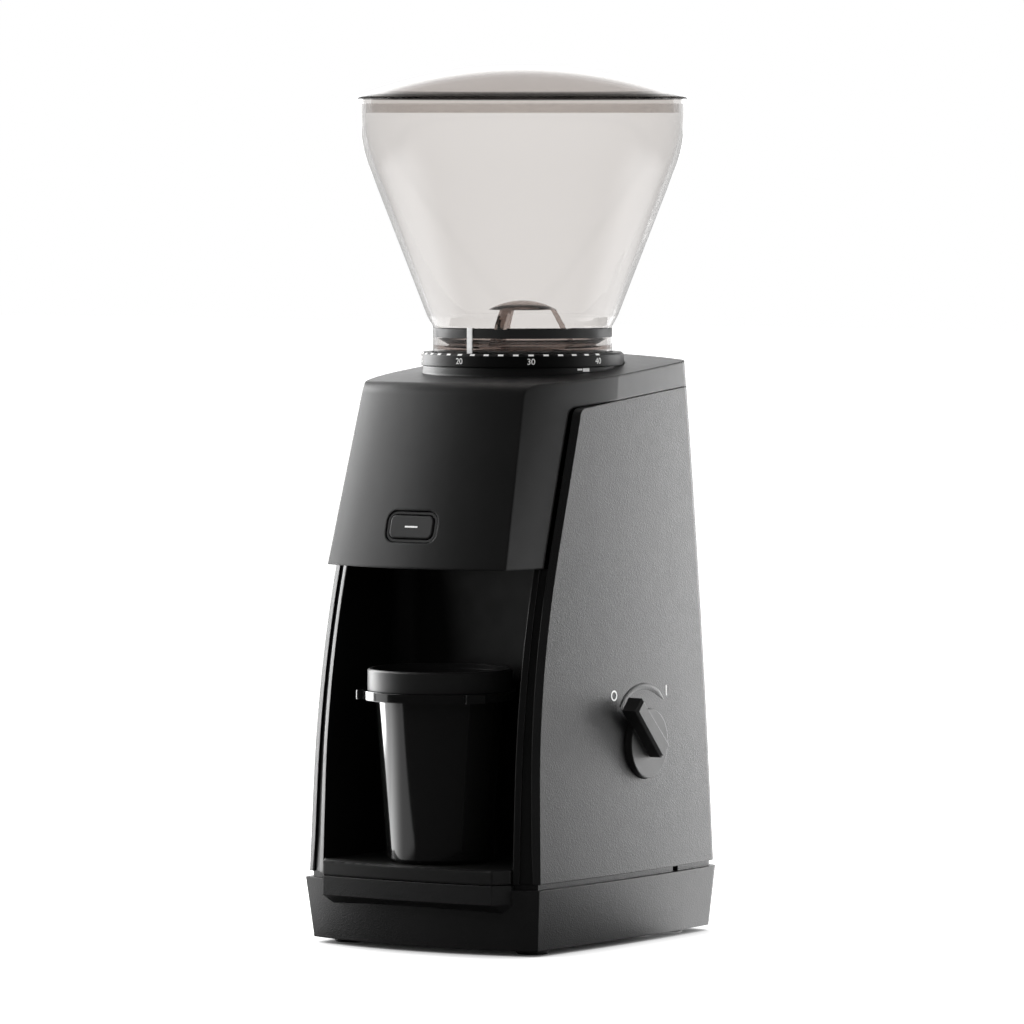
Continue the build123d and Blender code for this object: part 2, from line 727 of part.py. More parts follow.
def right_case():
    shell = case_shell()
    shell = shell - KNOB_PLANE * disc(KNOB_R + SEAM, 20, 0)
    return shell - KNOB_PLANE * disc(BUSH_R + SEAM, 40, -20)


def left_case():
    shell = case_shell()
    inside = case_solid(CASE_WALL / 2)
    for y, z in board_corners():
        post = Pos(PCB_X + BOARD_T, y, z) * (Rot(0, 90, 0) * disc(CASE_POST_R, 20, 0))
        hole = Pos(PCB_X, y, z) * (Rot(0, 90, 0) * disc(M3, BOARD_SCREW, 0))
        shell = shell + (post & inside) - hole
    return mirrored(shell)


def board_corners():
    low = PCB_Z + BOARD_EDGE
    high = PCB_Z + PCB_H - BOARD_EDGE
    return [(y, z) for y in (PCB_Y + BOARD_EDGE, PCB_Y + PCB_L - BOARD_EDGE) for z in (low, high)]


def control_board():
    # Board with its relay, capacitor, driver block and connectors
    board = block(-PCB_X - BOARD_T, -PCB_X, PCB_Y, PCB_Y + PCB_L, PCB_Z, PCB_Z + PCB_H)
    for y, z in board_corners():
        board = board - Pos(-PCB_X, y, z) * (Rot(0, 90, 0) * disc(M3, 10, -5))
    relay = block(-PCB_X, -PCB_X + 12, PCB_Y + 9, PCB_Y + 27, PCB_Z + 38, PCB_Z + 54)
    driver = block(-PCB_X, -PCB_X + 5, PCB_Y + 10, PCB_Y + 24, PCB_Z + 14, PCB_Z + 30)
    plug = block(-PCB_X, -PCB_X + 9, PCB_Y + 34, PCB_Y + 42, PCB_Z + 10, PCB_Z + 34)
    can = Pos(-PCB_X, PCB_Y + 37, PCB_Z + 46) * (Rot(0, 90, 0) * disc(5.0, 15, 0))
    return board + relay + driver + plug + can


def board_screws():
    screws = []
    for y, z in board_corners():
        place = Pos(-PCB_X, y, z) * Rot(0, -90, 0)
        screws.append(place * screw(BOARD_SCREW, 0, 0, 0))
    return Compound(screws)


def cup_tray():
    front = front_outline(TRAY_Z)
    back = BAY_BACK_Y - TRAY_SIDE_GAP
    facet_y = TRAY_FRONT_Y + TRAY_FACET_BACK
    wide = bay_half_width(facet_y) - TRAY_SIDE_GAP
    narrow = bay_half_width(back) - TRAY_SIDE_GAP
    rear = make_face(Polyline((-wide, facet_y), (wide, facet_y), (narrow, back), (-narrow, back), close=True))
    rear = fillet(rear.vertices().sort_by(Axis.Y)[-2:], BAY_CORNER_R)
    ahead = front - Pos(0, 100 + facet_y, TRAY_Z) * Rectangle(200, 200)
    plan = Pos(0, 0, TRAY_Z) * rear + ahead
    tray = extrude(plan, TRAY_T)
    top = tray.faces().sort_by(Axis.Z)[-1].edges()
    return fillet(top, TRAY_EDGE_R)


def dosing_cup():
    low = CUP_Z
    top = CUP_TOP
    flange = top - CUP_FLANGE_T
    floor = low + CUP_WALL + 0.4
    inner_top = CUP_RIM_R - CUP_WALL
    cup = spin([
        (0, low), (CUP_FOOT_R - CUP_EDGE, low), (CUP_FOOT_R, low + CUP_EDGE), (CUP_RIM_R, flange),
        (CUP_FLANGE_R, flange), (CUP_FLANGE_R, top), (inner_top, top),
        (CUP_FOOT_R - CUP_WALL, floor + CUP_EDGE), (CUP_FOOT_R - CUP_WALL - CUP_EDGE, floor), (0, floor),
    ])
    for angle in around(EAR_COUNT, 90.0):
        ear = block(CUP_FLANGE_R - 4, EAR_R, -EAR_W / 2, EAR_W / 2, flange, top)
        ear = fillet(ear.edges().filter_by(Axis.Z).sort_by(Axis.X)[-2:], CUP_EDGE)
        cup = cup + Rot(0, 0, angle) * ear
    return Pos(0, CUP_Y, 0) * cup


def cup_ring():
    low = CUP_TOP + FACE_GAP
    top = low + CUP_RING_H
    throat = CUP_RIM_R - CUP_WALL - CUP_SPIGOT_GAP
    spigot = low - CUP_SPIGOT
    taper = CUP_SPIGOT * (CUP_RIM_R - CUP_FOOT_R) / CUP_H
    ring = spin([
        (throat - taper - CUP_RING_WALL, spigot), (throat - taper, spigot), (throat, low),
        (CUP_RING_R, low), (CUP_RING_R, top - CUP_RING_EDGE), (CUP_RING_R - CUP_RING_EDGE, top),
        (CUP_RING_R - CUP_RING_WALL, top), (CUP_RING_R - CUP_RING_WALL, top - 2.0),
        (throat - CUP_RING_WALL, low + 1.0),
    ])
    return Pos(0, CUP_Y, 0) * ring


def pulse_button():
    cap = extrude(RectangleRounded(BUTTON_W, BUTTON_H, BUTTON_R), BUTTON_T)
    cap = fillet(cap.faces().sort_by(Axis.Z)[-1].edges(), BUTTON_EDGE_R)
    return BUTTON_PLANE * (Pos(0, 0, -BUTTON_SINK - BUTTON_T) * cap)


def button_bezel():
    flange_top = -COVER_WALL - BEZEL_BACK
    flange_low = flange_top - BEZEL_FLANGE
    flange = button_block(BEZEL_OUT_W + 4, BEZEL_OUT_H + 4, BEZEL_OUT_R, flange_low, flange_top)
    ring = button_block(BEZEL_OUT_W, BEZEL_OUT_H, BEZEL_OUT_R, flange_top, -BEZEL_SINK)
    opening = button_block(BUTTON_W + 2 * SEAM, BUTTON_H + 2 * SEAM, BUTTON_R + SEAM, -20, 10)
    bezel = flange + ring - opening
    for x in (-BOARD_POST_X, BOARD_POST_X):
        post = disc(1.4, flange_low - board_top(), board_top(), x, 0)
        bezel = bezel + BUTTON_PLANE * post
    return bezel


def board_top():
    # Outer face of the switch board, along the button's normal
    return -BUTTON_SINK - BUTTON_T - BUTTON_TRAVEL - SEAM - SWITCH_H


def pulse_switch_board():
    board = block(-BOARD_POST_X - 2, BOARD_POST_X + 2, -6, 6, board_top() - BOARD_T, board_top())
    body = block(-3, 3, -3, 3, board_top(), board_top() + SWITCH_H * 0.6)
    plunger = disc(1.6, SWITCH_H, board_top())
    return BUTTON_PLANE * (board + body + plunger)


def power_knob():
    # A flat disc with a pointer bar that reaches past its edge
    low = SEAM
    knob = disc(KNOB_R, KNOB_T, low)
    knob = fillet(knob.edges().sort_by(Axis.Z)[-1], KNOB_EDGE_R)
    root = KNOB_BAR_W / 2
    tip = KNOB_TIP_W / 2
    plan = make_face(Polyline((-root, -KNOB_BAR_SHORT), (root, -KNOB_BAR_SHORT), (tip, KNOB_BAR_LONG),
                              (-tip, KNOB_BAR_LONG), close=True))
    plan = fillet(plan.vertices().sort_by(Axis.Y)[:2], KNOB_BAR_END_R)
    bar = extrude(Pos(0, 0, KNOB_BAR_LOW) * plan, KNOB_BAR_TOP - KNOB_BAR_LOW)
    bar = chamfer(bar.faces().sort_by(Axis.Z)[-1].edges(), KNOB_BAR_EDGE)
    knob = knob + Rot(0, 0, KNOB_TURN) * bar
    knob = knob - disc(NUT_R + 1.2, NUT_T + SEAM - low, low) - disc(SPINDLE_R, SPINDLE_OUT, 0)
    return KNOB_PLANE * knob


def switch_shaft():
    return KNOB_PLANE * disc(SPINDLE_R, SPINDLE_OUT + CASE_WALL + SWITCH_D / 2, -CASE_WALL - SWITCH_D / 2)


def rotary_switch():
    front = -CASE_WALL - SEAM
    half = SWITCH_W / 2
    body = block(-half, half, -half, half, front - SWITCH_D, front)
    body = fillet(body.edges().filter_by(Axis.Z), 2.0)
    body = body + disc(BUSH_R, NUT_T - front, front)
    for x in (-6, 0, 6):
        body = body + block(x - 1.6, x + 1.6, -0.4, 0.4, front - SWITCH_D - 7, front - SWITCH_D)
    return KNOB_PLANE * (body - disc(SPINDLE_R + RUNNING, 60, front - SWITCH_D / 2 - 1))


def switch_nut():
    nut = extrude(RegularPolygon(NUT_R, 6), NUT_T - SEAM) - disc(BUSH_R, 10, -1)
    return KNOB_PLANE * nut


def dial_ring():
    ring = tube(DIAL_R, COLLAR_R + DIAL_GAP, DIAL_H, DIAL_Z)
    top = ring.faces().sort_by(Axis.Z)[-1].edges().sort_by(SortBy.RADIUS)[-1]
    return chamfer(top, DIAL_CHAMFER)


def hopper():
    lean = HOPPER_WALL * 1.07
    foot = COLLAR_Z - LUG_H
    outer = FilletPolyline(
        (COLLAR_R, foot), (COLLAR_R, COLLAR_Z + COLLAR_H), (STEP_R, CONE_FOOT),
        (HOPPER_R, CONE_FOOT + CONE_H), (HOPPER_TOP_R, HOPPER_TOP),
        radius=(2.0, 4.0, HOPPER_SHOULDER_R),
    )
    inner = FilletPolyline(
        (COLLAR_IN, foot), (COLLAR_IN, COLLAR_Z + COLLAR_H + 0.6), (STEP_R - lean, CONE_FOOT + 0.4),
        (HOPPER_R - lean, CONE_FOOT + CONE_H + 0.4), (HOPPER_TOP_R - HOPPER_WALL, HOPPER_TOP),
        radius=(2.0, 4.0, HOPPER_SHOULDER_R - HOPPER_WALL),
    )
    edges = [
        outer, inner,
        Line((COLLAR_IN, foot), (COLLAR_R, foot)),
        Line((HOPPER_TOP_R - HOPPER_WALL, HOPPER_TOP), (HOPPER_TOP_R, HOPPER_TOP)),
    ]
    body = revolve(Plane.XZ * make_face(edges), Axis.Z)
    space = 360.0 / LUG_COUNT - LUG_ARC
    for angle in around(LUG_COUNT, 30.0 + 180.0 / LUG_COUNT):
        cut = arc_block(COLLAR_IN - 1, COLLAR_R + 1, foot - 1, COLLAR_Z, space)
        body = body - Rot(0, 0, angle) * cut
    return body - tube(COLLAR_R + 1, COLLAR_R - SEAL_T, SEAL_H, COLLAR_Z + SEAL_LOW)


def arc_block(inner, outer, low, high, arc):
    # A piece of a ring, centred on +X
    section = Polyline((inner, low), (outer, low), (outer, high), (inner, high), close=True)
    return Rot(0, 0, -arc / 2) * revolve(Plane.XZ * make_face(section), Axis.Z, arc)


def adjusting_ring():
    ring = tube(ADJUST_R, CHAMBER_R, RING_H, ADJUST_Z)
    ring = ring + tube(ADJUST_R + RING_LIP, CHAMBER_R, FLANGE_T, ADJUST_Z)
    floor = COLLAR_Z - LUG_H - HOLDER_GAP
    for angle in around(LUG_COUNT, 30.0):
        slot = arc_block(COLLAR_IN - HOLDER_GAP, ADJUST_R + 1, floor, ADJUST_TOP + 1, LUG_ARC + 2 * LUG_CLEAR)
        ring = ring - Rot(0, 0, angle) * slot
    return ring


def hopper_lid():
    low = HOPPER_TOP + LID_GAP
    rim = low + LID_RIM_T
    apex = rim + LID_DOME
    seat_out = HOPPER_TOP_R - 0.9
    skirt_r = HOPPER_TOP_R - HOPPER_WALL - LID_SKIRT_GAP
    dome_r = LID_R - 0.6
    skirt_low = HOPPER_TOP - LID_SKIRT + LID_GAP
    outer = [
        ThreePointArc((0, apex), dome_point(rim, dome_r, apex), (dome_r, rim)),
        Polyline((dome_r, rim), (LID_R, rim - 0.4), (LID_R, low + 0.3), (LID_R - 0.3, low), (seat_out, low),
                 (seat_out, HOPPER_TOP + FACE_GAP), (skirt_r, HOPPER_TOP + FACE_GAP),
                 (skirt_r, skirt_low), (skirt_r - LID_T, skirt_low), (skirt_r - LID_T, rim - 0.4)),
        ThreePointArc((skirt_r - LID_T, rim - 0.4), dome_point(rim - 0.4, skirt_r - LID_T, apex - LID_T),
                      (0, apex - LID_T)),
        Line((0, apex - LID_T), (0, apex)),
    ]
    return revolve(Plane.XZ * make_face(outer), Axis.Z)


def dome_point(low, radius, apex):
    # A point half way out on the arc from the apex to the rim
    rise = apex - low
    ball = (radius ** 2 + rise ** 2) / (2 * rise)
    half = radius / 2
    return (half, apex - ball + sqrt(ball ** 2 - half ** 2))


def hopper_seal():
    return tube(COLLAR_R, COLLAR_R - SEAL_T, SEAL_H, COLLAR_Z + SEAL_LOW)


def bean_guard():
    # Dome on three slanting legs over a flange that fits the collar
    edge = COLLAR_Z + GUARD_RISE
    apex = edge + GUARD_DOME
    face = make_face([
        ThreePointArc((0, apex), dome_point(edge, GUARD_R, apex), (GUARD_R, edge)),
        Line((GUARD_R, edge), (GUARD_R - GUARD_T, edge)),
        ThreePointArc((GUARD_R - GUARD_T, edge),
                      dome_point(edge, GUARD_R - GUARD_T, apex - GUARD_T), (0, apex - GUARD_T)),
        Line((0, apex - GUARD_T), (0, apex)),
    ])
    guard = revolve(Plane.XZ * face, Axis.Z)
    low = COLLAR_Z + GUARD_FLANGE_Z
    flange = tube(COLLAR_IN, GUARD_HOLE_R, GUARD_T, low)
    leg = make_face(Polyline(
        (GUARD_R - 2.6, edge + 0.6), (GUARD_R - 0.4, edge + 0.2), (GUARD_FOOT_R + 1.2, low + GUARD_T / 2),
        (GUARD_FOOT_R - 1.2, low + GUARD_T / 2), close=True))
    leg = extrude(Plane.XZ * leg, GUARD_LEG_W / 2, both=True)
    for angle in around(LUG_COUNT, -90.0):
        guard = guard + Rot(0, 0, angle) * leg
    return guard + flange


def ring_burr_holder():
    low = CONE_Z + BURR_LIFT
    seat = low + BURR_H
    top = COLLAR_Z + GUARD_FLANGE_Z - HOLDER_TRAVEL - 2 * HOLDER_GAP
    throat = BURR_R - 3.0
    return spin([
        (BURR_R, low), (HOLDER_R, low), (HOLDER_R, top), (HOLDER_R - RING_WALL / 2, top),
        (HOLDER_R - RING_WALL / 2, top - 4.0), (throat, seat), (BURR_R, seat),
    ])


def cone_radius(z):
    return CONE_TOP_R + (CONE_Z + CONE_H_BURR - z) * tan(radians(BURR_ANGLE))


def ring_burr():
    low = CONE_Z + BURR_LIFT
    seat = low + BURR_H
    space = BURR_SPACE / cos(radians(BURR_ANGLE))
    return spin([
        (cone_radius(low) + space, low), (BURR_R, low), (BURR_R, seat), (cone_radius(seat) + space, seat),
    ])


def cone_burr():
    top = CONE_Z + CONE_H_BURR
    burr = spin([(SHAFT_R, CONE_Z), (cone_radius(CONE_Z), CONE_Z), (CONE_TOP_R, top), (SHAFT_R, top)])
    flute = make_face(Polyline(
        (cone_radius(CONE_Z) - FLUTE_DEPTH, CONE_Z - 1), (cone_radius(CONE_Z) + 5, CONE_Z - 1),
        (CONE_TOP_R + 5, top + 1), (CONE_TOP_R - FLUTE_DEPTH, top + 1), close=True))
    cut = extrude(Plane.XZ * flute, FLUTE_W / 2, both=True)
    for angle in around(BURR_FLUTES):
        burr = burr - Rot(0, 0, angle) * cut
    return burr


def cone_burr_nut():
    return extrude(Pos(0, 0, CONE_Z + CONE_H_BURR) * RegularPolygon(NUT_R, 6), NUT_H) - disc(SHAFT_R, 400, 0)


def drive_shaft():
    low = PLATE_Z + SEAM
    top = CONE_Z + CONE_H_BURR + NUT_H + 1.0
    return chamfer(disc(SHAFT_R, top - low, low).edges(), 0.5)


def grounds_sweeper():
    reach = CHAMBER_R - HOLDER_GAP - 0.6
    plate = tube(reach, SHAFT_R, SWEEPER_H / 2, SWEEPER_Z)
    plate = plate + tube(BURR_R / 2, SHAFT_R, SWEEPER_H, SWEEPER_Z)
    for angle in around(SWEEPER_PADDLES):
        paddle = block(BURR_R, reach - 0.4, -1.5, 1.5, SWEEPER_Z, SWEEPER_Z + SWEEPER_H)
        plate = plate + Rot(0, 0, angle) * paddle
    return plate


def felt_washer():
    return tube(SHAFT_R * 2, SHAFT_R + SEAM, FELT_T, CHAMBER_IN)


def upper_bearing():
    return tube(BEARING_R, SHAFT_R + RUNNING, BEARING_H, BOX_TOP_Z)


def lower_bearing():
    return tube(BUSH_LOW_R, SHAFT_R + RUNNING, GEAR_PLATE + GEAR_GAP, PLATE_Z)


def grind_chamber():
    # Bearing boss with a screwed foot, floor, wall with the outlet, and the top flange with ears
    outer = CHAMBER_R + CHAMBER_WALL
    body = disc(CHAMBER_BOSS_R, CHAMBER_BOSS, BOX_TOP_Z) + disc(CHAMBER_FOOT_R, FLANGE_T, BOX_TOP_Z)
    body = body + disc(outer, CHAMBER_TOP - CHAMBER_Z, CHAMBER_Z)
    body = body + disc(outer + CHAMBER_FLANGE, FLANGE_T, CHAMBER_TOP - FLANGE_T)
    for x, y in COVER_POSTS:
        body = body + disc(COVER_POST_R, FLANGE_T, CHAMBER_TOP - FLANGE_T, x, y)
    body = body - disc(CHAMBER_R, 40, CHAMBER_IN) - disc(SHAFT_R + SEAM, 60, BOX_TOP_Z - 1)
    body = body - disc(BEARING_R, BEARING_H, BOX_TOP_Z)
    for x, y in chamber_screw_places():
        body = body - disc(M3, 10, BOX_TOP_Z - 1, x, y)
    for x, y in COVER_POSTS:
        body = body - disc(M3, 20, CHAMBER_TOP - FLANGE_T - 1, x, y)
    window = block(-CHUTE_HALF, CHUTE_HALF, -outer - 5, -20, CHAMBER_IN, CHAMBER_IN + CHUTE_MOUTH_H)
    return body - window


def chamber_screw_places():
    ring = (CHAMBER_BOSS_R + CHAMBER_FOOT_R) / 2 + 0.4
    return [(ring * cos(radians(a)), ring * sin(radians(a))) for a in around(3, 30.0)]


def chamber_screws():
    z = BOX_TOP_Z + FLANGE_T
    return Compound([screw(FLANGE_T + BOX_TOP, x, y, z, -1) for x, y in chamber_screw_places()])


def cover_screws():
    z = CHAMBER_TOP - FLANGE_T
    return Compound([screw(FLANGE_T + 8.0, x, y, z) for x, y in COVER_POSTS])


def grounds_chute():
    # A duct from the chamber's outlet, forward and down through the ceiling of the bay
    start = -(CHAMBER_R + CHAMBER_WALL) - SEAM
    top = CHAMBER_IN + CHUTE_MOUTH_H
    front = CHUTE_Y - CHUTE_DEPTH / 2
    rear = CHUTE_Y + CHUTE_DEPTH / 2
    low = CEIL_Z - FACE_GAP
    w = CHUTE_WALL
    outer = side_extrude([
        (start, top + w), (start - 12, top + w), (front - w, top - 14), (front - w, low), (rear + w, low),
        (rear + w, CHAMBER_IN - 10), (start - 5, CHAMBER_IN - w), (start, CHAMBER_IN - w),
    ], CHUTE_HALF + w)
    inner = side_extrude([
        (start + 5, top), (start - 12 + w, top), (front, top - 14), (front, low - 5), (rear, low - 5),
        (rear, CHAMBER_IN - 10 + w / 2), (start - 5, CHAMBER_IN), (start + 5, CHAMBER_IN),
    ], CHUTE_HALF)
    return outer - inner


def gear_outline(module, teeth, phase):
    # Spur gear with short involute teeth, thinned for backlash; a tooth stands at the phase angle
    pitch = module * teeth / 2
    ground = pitch * cos(radians(PRESSURE))
    tip = pitch + ADDENDUM * module
    root = pitch - DEDENDUM * module

    def spread(r):
        at = acos(min(1.0, ground / max(r, ground)))
        rest = radians(PRESSURE)
        half = pi / (2 * teeth) * (1 - BACKLASH)
        return half + (tan(rest) - rest) - (tan(at) - at)

    radii = [root, max(root + 0.01, ground), pitch, tip]
    points = []
    for i in range(teeth):
        middle = radians(phase) + 2 * pi * i / teeth
        flank = [(r, middle - spread(r)) for r in radii] + [(r, middle + spread(r)) for r in reversed(radii)]
        points += [(r * cos(a), r * sin(a)) for r, a in flank]
    return make_face(Polyline(*points, close=True))


def gear(module, teeth, phase, width, z, bore, x=0.0, y=0.0):
    wheel = extrude(gear_outline(module, teeth, phase), width) - disc(bore, width + 2, -1)
    return Pos(x, y, z) * wheel


def output_gear():
    wheel = gear(MODULE2, OUTPUT_TEETH, MESH2 + 180.0 / OUTPUT_TEETH, GEAR2_W, GEAR2_Z, SHAFT_R)
    return wheel + tube(SHAFT_R + 3.0, SHAFT_R, GEAR2_W + GEAR_GAP / 2, GEAR2_Z)


def idler_gear():
    bore = IDLER_PIN_R + RUNNING
    wheel = gear(MODULE1, WHEEL_TEETH, MESH1 + 180.0 / WHEEL_TEETH, GEAR1_W, GEAR1_Z, bore, IDLER_X, IDLER_Y)
    small = gear(MODULE2, IDLER_TEETH, MESH2 + 180.0, GEAR2_W, GEAR2_Z, bore, IDLER_X, IDLER_Y)
    root = MODULE2 * (IDLER_TEETH / 2 - DEDENDUM)
    hub = tube(root, bore, GEAR_GAP, GEAR1_Z + GEAR1_W, IDLER_X, IDLER_Y)
    return wheel + hub + small


def idler_pin():
    return disc(IDLER_PIN_R, BOX_TOP_Z - PLATE_Z, PLATE_Z, IDLER_X, IDLER_Y)


def motor_pinion():
    return gear(MODULE1, PINION_TEETH, MESH1 + 180.0, GEAR1_W, GEAR1_Z, MOTOR_SHAFT_R, 0, MOTOR_Y)


def gearbox_plan(space):
    # Hull round the output wheel, the idler wheel and the motor pinion
    tip2 = MODULE2 * (OUTPUT_TEETH / 2 + ADDENDUM) + BOX_SPACE + space
    tip1 = MODULE1 * (WHEEL_TEETH / 2 + ADDENDUM) + BOX_SPACE + space
    tip0 = MODULE1 * (PINION_TEETH / 2 + ADDENDUM) + BOX_SPACE + PINION_ROOM + space
    rounds = [Circle(tip2), Pos(IDLER_X, IDLER_Y) * Circle(tip1), Pos(0, MOTOR_Y) * Circle(tip0)]
    return make_hull([c.edges()[0] for c in rounds])


def gearbox_housing():
    box = extrude(Pos(0, 0, PLATE_TOP) * gearbox_plan(BOX_WALL), BOX_TOP_Z - PLATE_TOP)
    box = box - extrude(Pos(0, 0, PLATE_TOP - 1) * gearbox_plan(0), BOX_IN_TOP - PLATE_TOP + 1)
    box = box - disc(SHAFT_R + SEAM, 10, BOX_IN_TOP - 2)
    box = box - disc(IDLER_PIN_R, 10, BOX_IN_TOP - 2, IDLER_X, IDLER_Y)
    for x, y in chamber_screw_places():
        box = box - disc(M3, 10, BOX_IN_TOP - 2, x, y)
    return box


def gearbox_cover():
    plan = gearbox_plan(BOX_WALL)
    for x, y in EARS:
        arm = make_hull([Circle(PAD_R + 1).edges()[0], (Pos(x, y) * Circle(PAD_R + 1)).edges()[0]])
        plan = plan + arm
    plate = extrude(Pos(0, 0, PLATE_Z) * plan, GEAR_PLATE)
    plate = plate - disc(BUSH_LOW_R, 10, PLATE_Z - 2) - disc(IDLER_PIN_R, 10, PLATE_Z - 2, IDLER_X, IDLER_Y)
    plate = plate - disc(MOTOR_BOSS_R, 10, PLATE_Z - 2, 0, MOTOR_Y)
    for x, y in EARS:
        plate = plate - disc(M3, 10, PLATE_Z - 2, x, y)
    return plate


def motor_pads():
    return Compound([tube(PAD_R, M3, PAD_T, SHELF_TOP, x, y) for x, y in EARS])


def gearbox_screws():
    length = GEAR_PLATE + PAD_T + SHELF_T
    return Compound([screw(length, x, y, PLATE_TOP, -1) for x, y in EARS])


def motor_can():
    low = PLATE_Z - MOTOR_H
    lid_z = PLATE_Z - MOTOR_WALL
    can = tube(MOTOR_R, MOTOR_R - MOTOR_WALL, MOTOR_H, low, 0, MOTOR_Y)
    lid = tube(MOTOR_R, MOTOR_SHAFT_R + SEAM, MOTOR_WALL, lid_z, 0, MOTOR_Y)
    nose = tube(MOTOR_BOSS_R, MOTOR_SHAFT_R + RUNNING, GEAR_PLATE + MOTOR_WALL, lid_z, 0, MOTOR_Y)
    return can + (lid - disc(MOTOR_BOSS_R, 10, PLATE_Z - 5, 0, MOTOR_Y)) + nose


def motor_end_cap():
    low = PLATE_Z - MOTOR_H - MOTOR_CAP_H
    cap = disc(MOTOR_R, MOTOR_CAP_H, low, 0, MOTOR_Y)
    cap = chamfer(cap.edges().sort_by(Axis.Z)[0], 2.0)
    cap = cap - disc(MOTOR_SHAFT_R + RUNNING, 30, low - 5, 0, MOTOR_Y)
    for x in (-11, 11):
        cap = cap + block(x - 2.4, x + 2.4, MOTOR_Y - 0.4, MOTOR_Y + 0.4, low - 7, low + 1)
    return cap


def motor_shaft():
    low = PLATE_Z - MOTOR_H - MOTOR_CAP_H
    return disc(MOTOR_SHAFT_R, GEAR1_Z + GEAR1_W - low, low, 0, MOTOR_Y)


def motor_rotor():
    # Slotted armature on the shaft
    length = MOTOR_H - 4 * MOTOR_WALL
    low = PLATE_Z - MOTOR_H + 2 * MOTOR_WALL
    rotor = tube(ROTOR_R, MOTOR_SHAFT_R, length, low)
    slot = block(ROTOR_R - 5, ROTOR_R + 1, -0.9, 0.9, low - 1, low + length + 1)
    for angle in around(ROTOR_SLOTS):
        rotor = rotor - Rot(0, 0, angle) * slot
    return Pos(0, MOTOR_Y, 0) * rotor


def thermal_cutoff():
    low = PLATE_Z - MOTOR_H / 2
    return block(MOTOR_R + 0.1, MOTOR_R + 4.6, MOTOR_Y - 4, MOTOR_Y + 4, low, low + 14)


def main():
    os.makedirs("parts", exist_ok=True)
    pieces = [
        hopper_lid, hopper, bean_guard, hopper_seal, dial_ring, adjusting_ring, ring_burr_holder, ring_burr,
        cone_burr, cone_burr_nut, drive_shaft, upper_bearing, lower_bearing, grounds_sweeper, felt_washer,
        grind_chamber, chamber_screws, cover_screws, grounds_chute, gearbox_housing, gearbox_cover,
        gearbox_screws, output_gear, idler_gear, idler_pin, motor_pinion, motor_shaft, motor_rotor, motor_can,
        motor_end_cap, motor_pads, thermal_cutoff, top_cover, left_case, right_case, bay_frame, cup_tray,
        dosing_cup, cup_ring, pulse_button, button_bezel, pulse_switch_board, power_knob, switch_shaft,
        rotary_switch, switch_nut, control_board, board_screws, base, bottom_cover, bottom_screws,
        case_screws, rubber_feet, cord_gland,
    ]
    for piece in pieces:
        export_step(Pos(0, AXIS_Y, 0) * piece(), "parts/" + piece.__name__ + ".step")


main()
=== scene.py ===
import json
from math import cos, pi, radians, sin, sqrt

import bmesh
import bpy
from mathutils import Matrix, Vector


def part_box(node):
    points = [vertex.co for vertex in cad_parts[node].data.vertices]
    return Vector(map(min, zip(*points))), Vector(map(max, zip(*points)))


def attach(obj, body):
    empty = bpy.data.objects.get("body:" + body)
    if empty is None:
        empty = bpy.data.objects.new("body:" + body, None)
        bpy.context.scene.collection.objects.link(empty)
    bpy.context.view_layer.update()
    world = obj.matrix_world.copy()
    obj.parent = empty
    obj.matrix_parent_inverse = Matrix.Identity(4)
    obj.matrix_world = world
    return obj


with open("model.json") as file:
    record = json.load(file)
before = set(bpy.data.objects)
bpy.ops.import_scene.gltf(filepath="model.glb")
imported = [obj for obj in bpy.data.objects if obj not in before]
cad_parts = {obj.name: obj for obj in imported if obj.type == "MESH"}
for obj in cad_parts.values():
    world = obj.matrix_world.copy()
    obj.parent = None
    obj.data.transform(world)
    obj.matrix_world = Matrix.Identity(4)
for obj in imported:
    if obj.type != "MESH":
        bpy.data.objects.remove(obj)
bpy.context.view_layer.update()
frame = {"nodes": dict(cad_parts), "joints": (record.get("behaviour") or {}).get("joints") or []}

mm = 0.001
nodes = frame["nodes"]
joints = {joint["name"]: joint for joint in frame["joints"]}
axisY = joints["grind_adjust"]["pos_m"][1]      # the hopper's axis stands at x = 0
print("frame loaded:", len(nodes), "nodes")


def addNode(owner, kind, **values):
    # owner is a material or the world; a value sets the input of that name, or else a property
    node = owner.node_tree.nodes.new(kind)
    for key, value in values.items():
        socket = key.replace("_", " ")
        if socket in node.inputs:
            node.inputs[socket].default_value = value
        else:
            setattr(node, key, value)
    return node


def link(owner, source, target):
    owner.node_tree.links.new(source, target)


def feed(owner, value, socket):
    # value is another node's socket or a plain number
    if isinstance(value, bpy.types.NodeSocket):
        link(owner, value, socket)
    else:
        socket.default_value = value


def calc(owner, operation, *terms):
    node = addNode(owner, "ShaderNodeMath", operation=operation)
    for term, socket in zip(terms, node.inputs):
        feed(owner, term, socket)
    return node.outputs["Value"]


def colorRamp(owner, value, stops):
    # stops are pairs of a position and a colour
    ramp = addNode(owner, "ShaderNodeValToRGB")
    elements = ramp.color_ramp.elements
    elements.remove(elements[1])
    elements[0].position = stops[0][0]
    elements[0].color = (*stops[0][1], 1.0)
    for at, color in stops[1:]:
        elements.new(at).color = (*color, 1.0)
    link(owner, value, ramp.inputs["Fac"])
    return ramp.outputs["Color"]


def mapRange(owner, value, fromSpan, toSpan, kind="LINEAR"):
    span = addNode(owner, "ShaderNodeMapRange", interpolation_type=kind, From_Min=fromSpan[0],
                   From_Max=fromSpan[1], To_Min=toSpan[0], To_Max=toSpan[1])
    link(owner, value, span.inputs["Value"])
    return span.outputs["Result"]


def shaderOf(mat):
    return mat.node_tree.nodes["Principled BSDF"]


def outputOf(mat):
    return mat.node_tree.nodes["Material Output"]


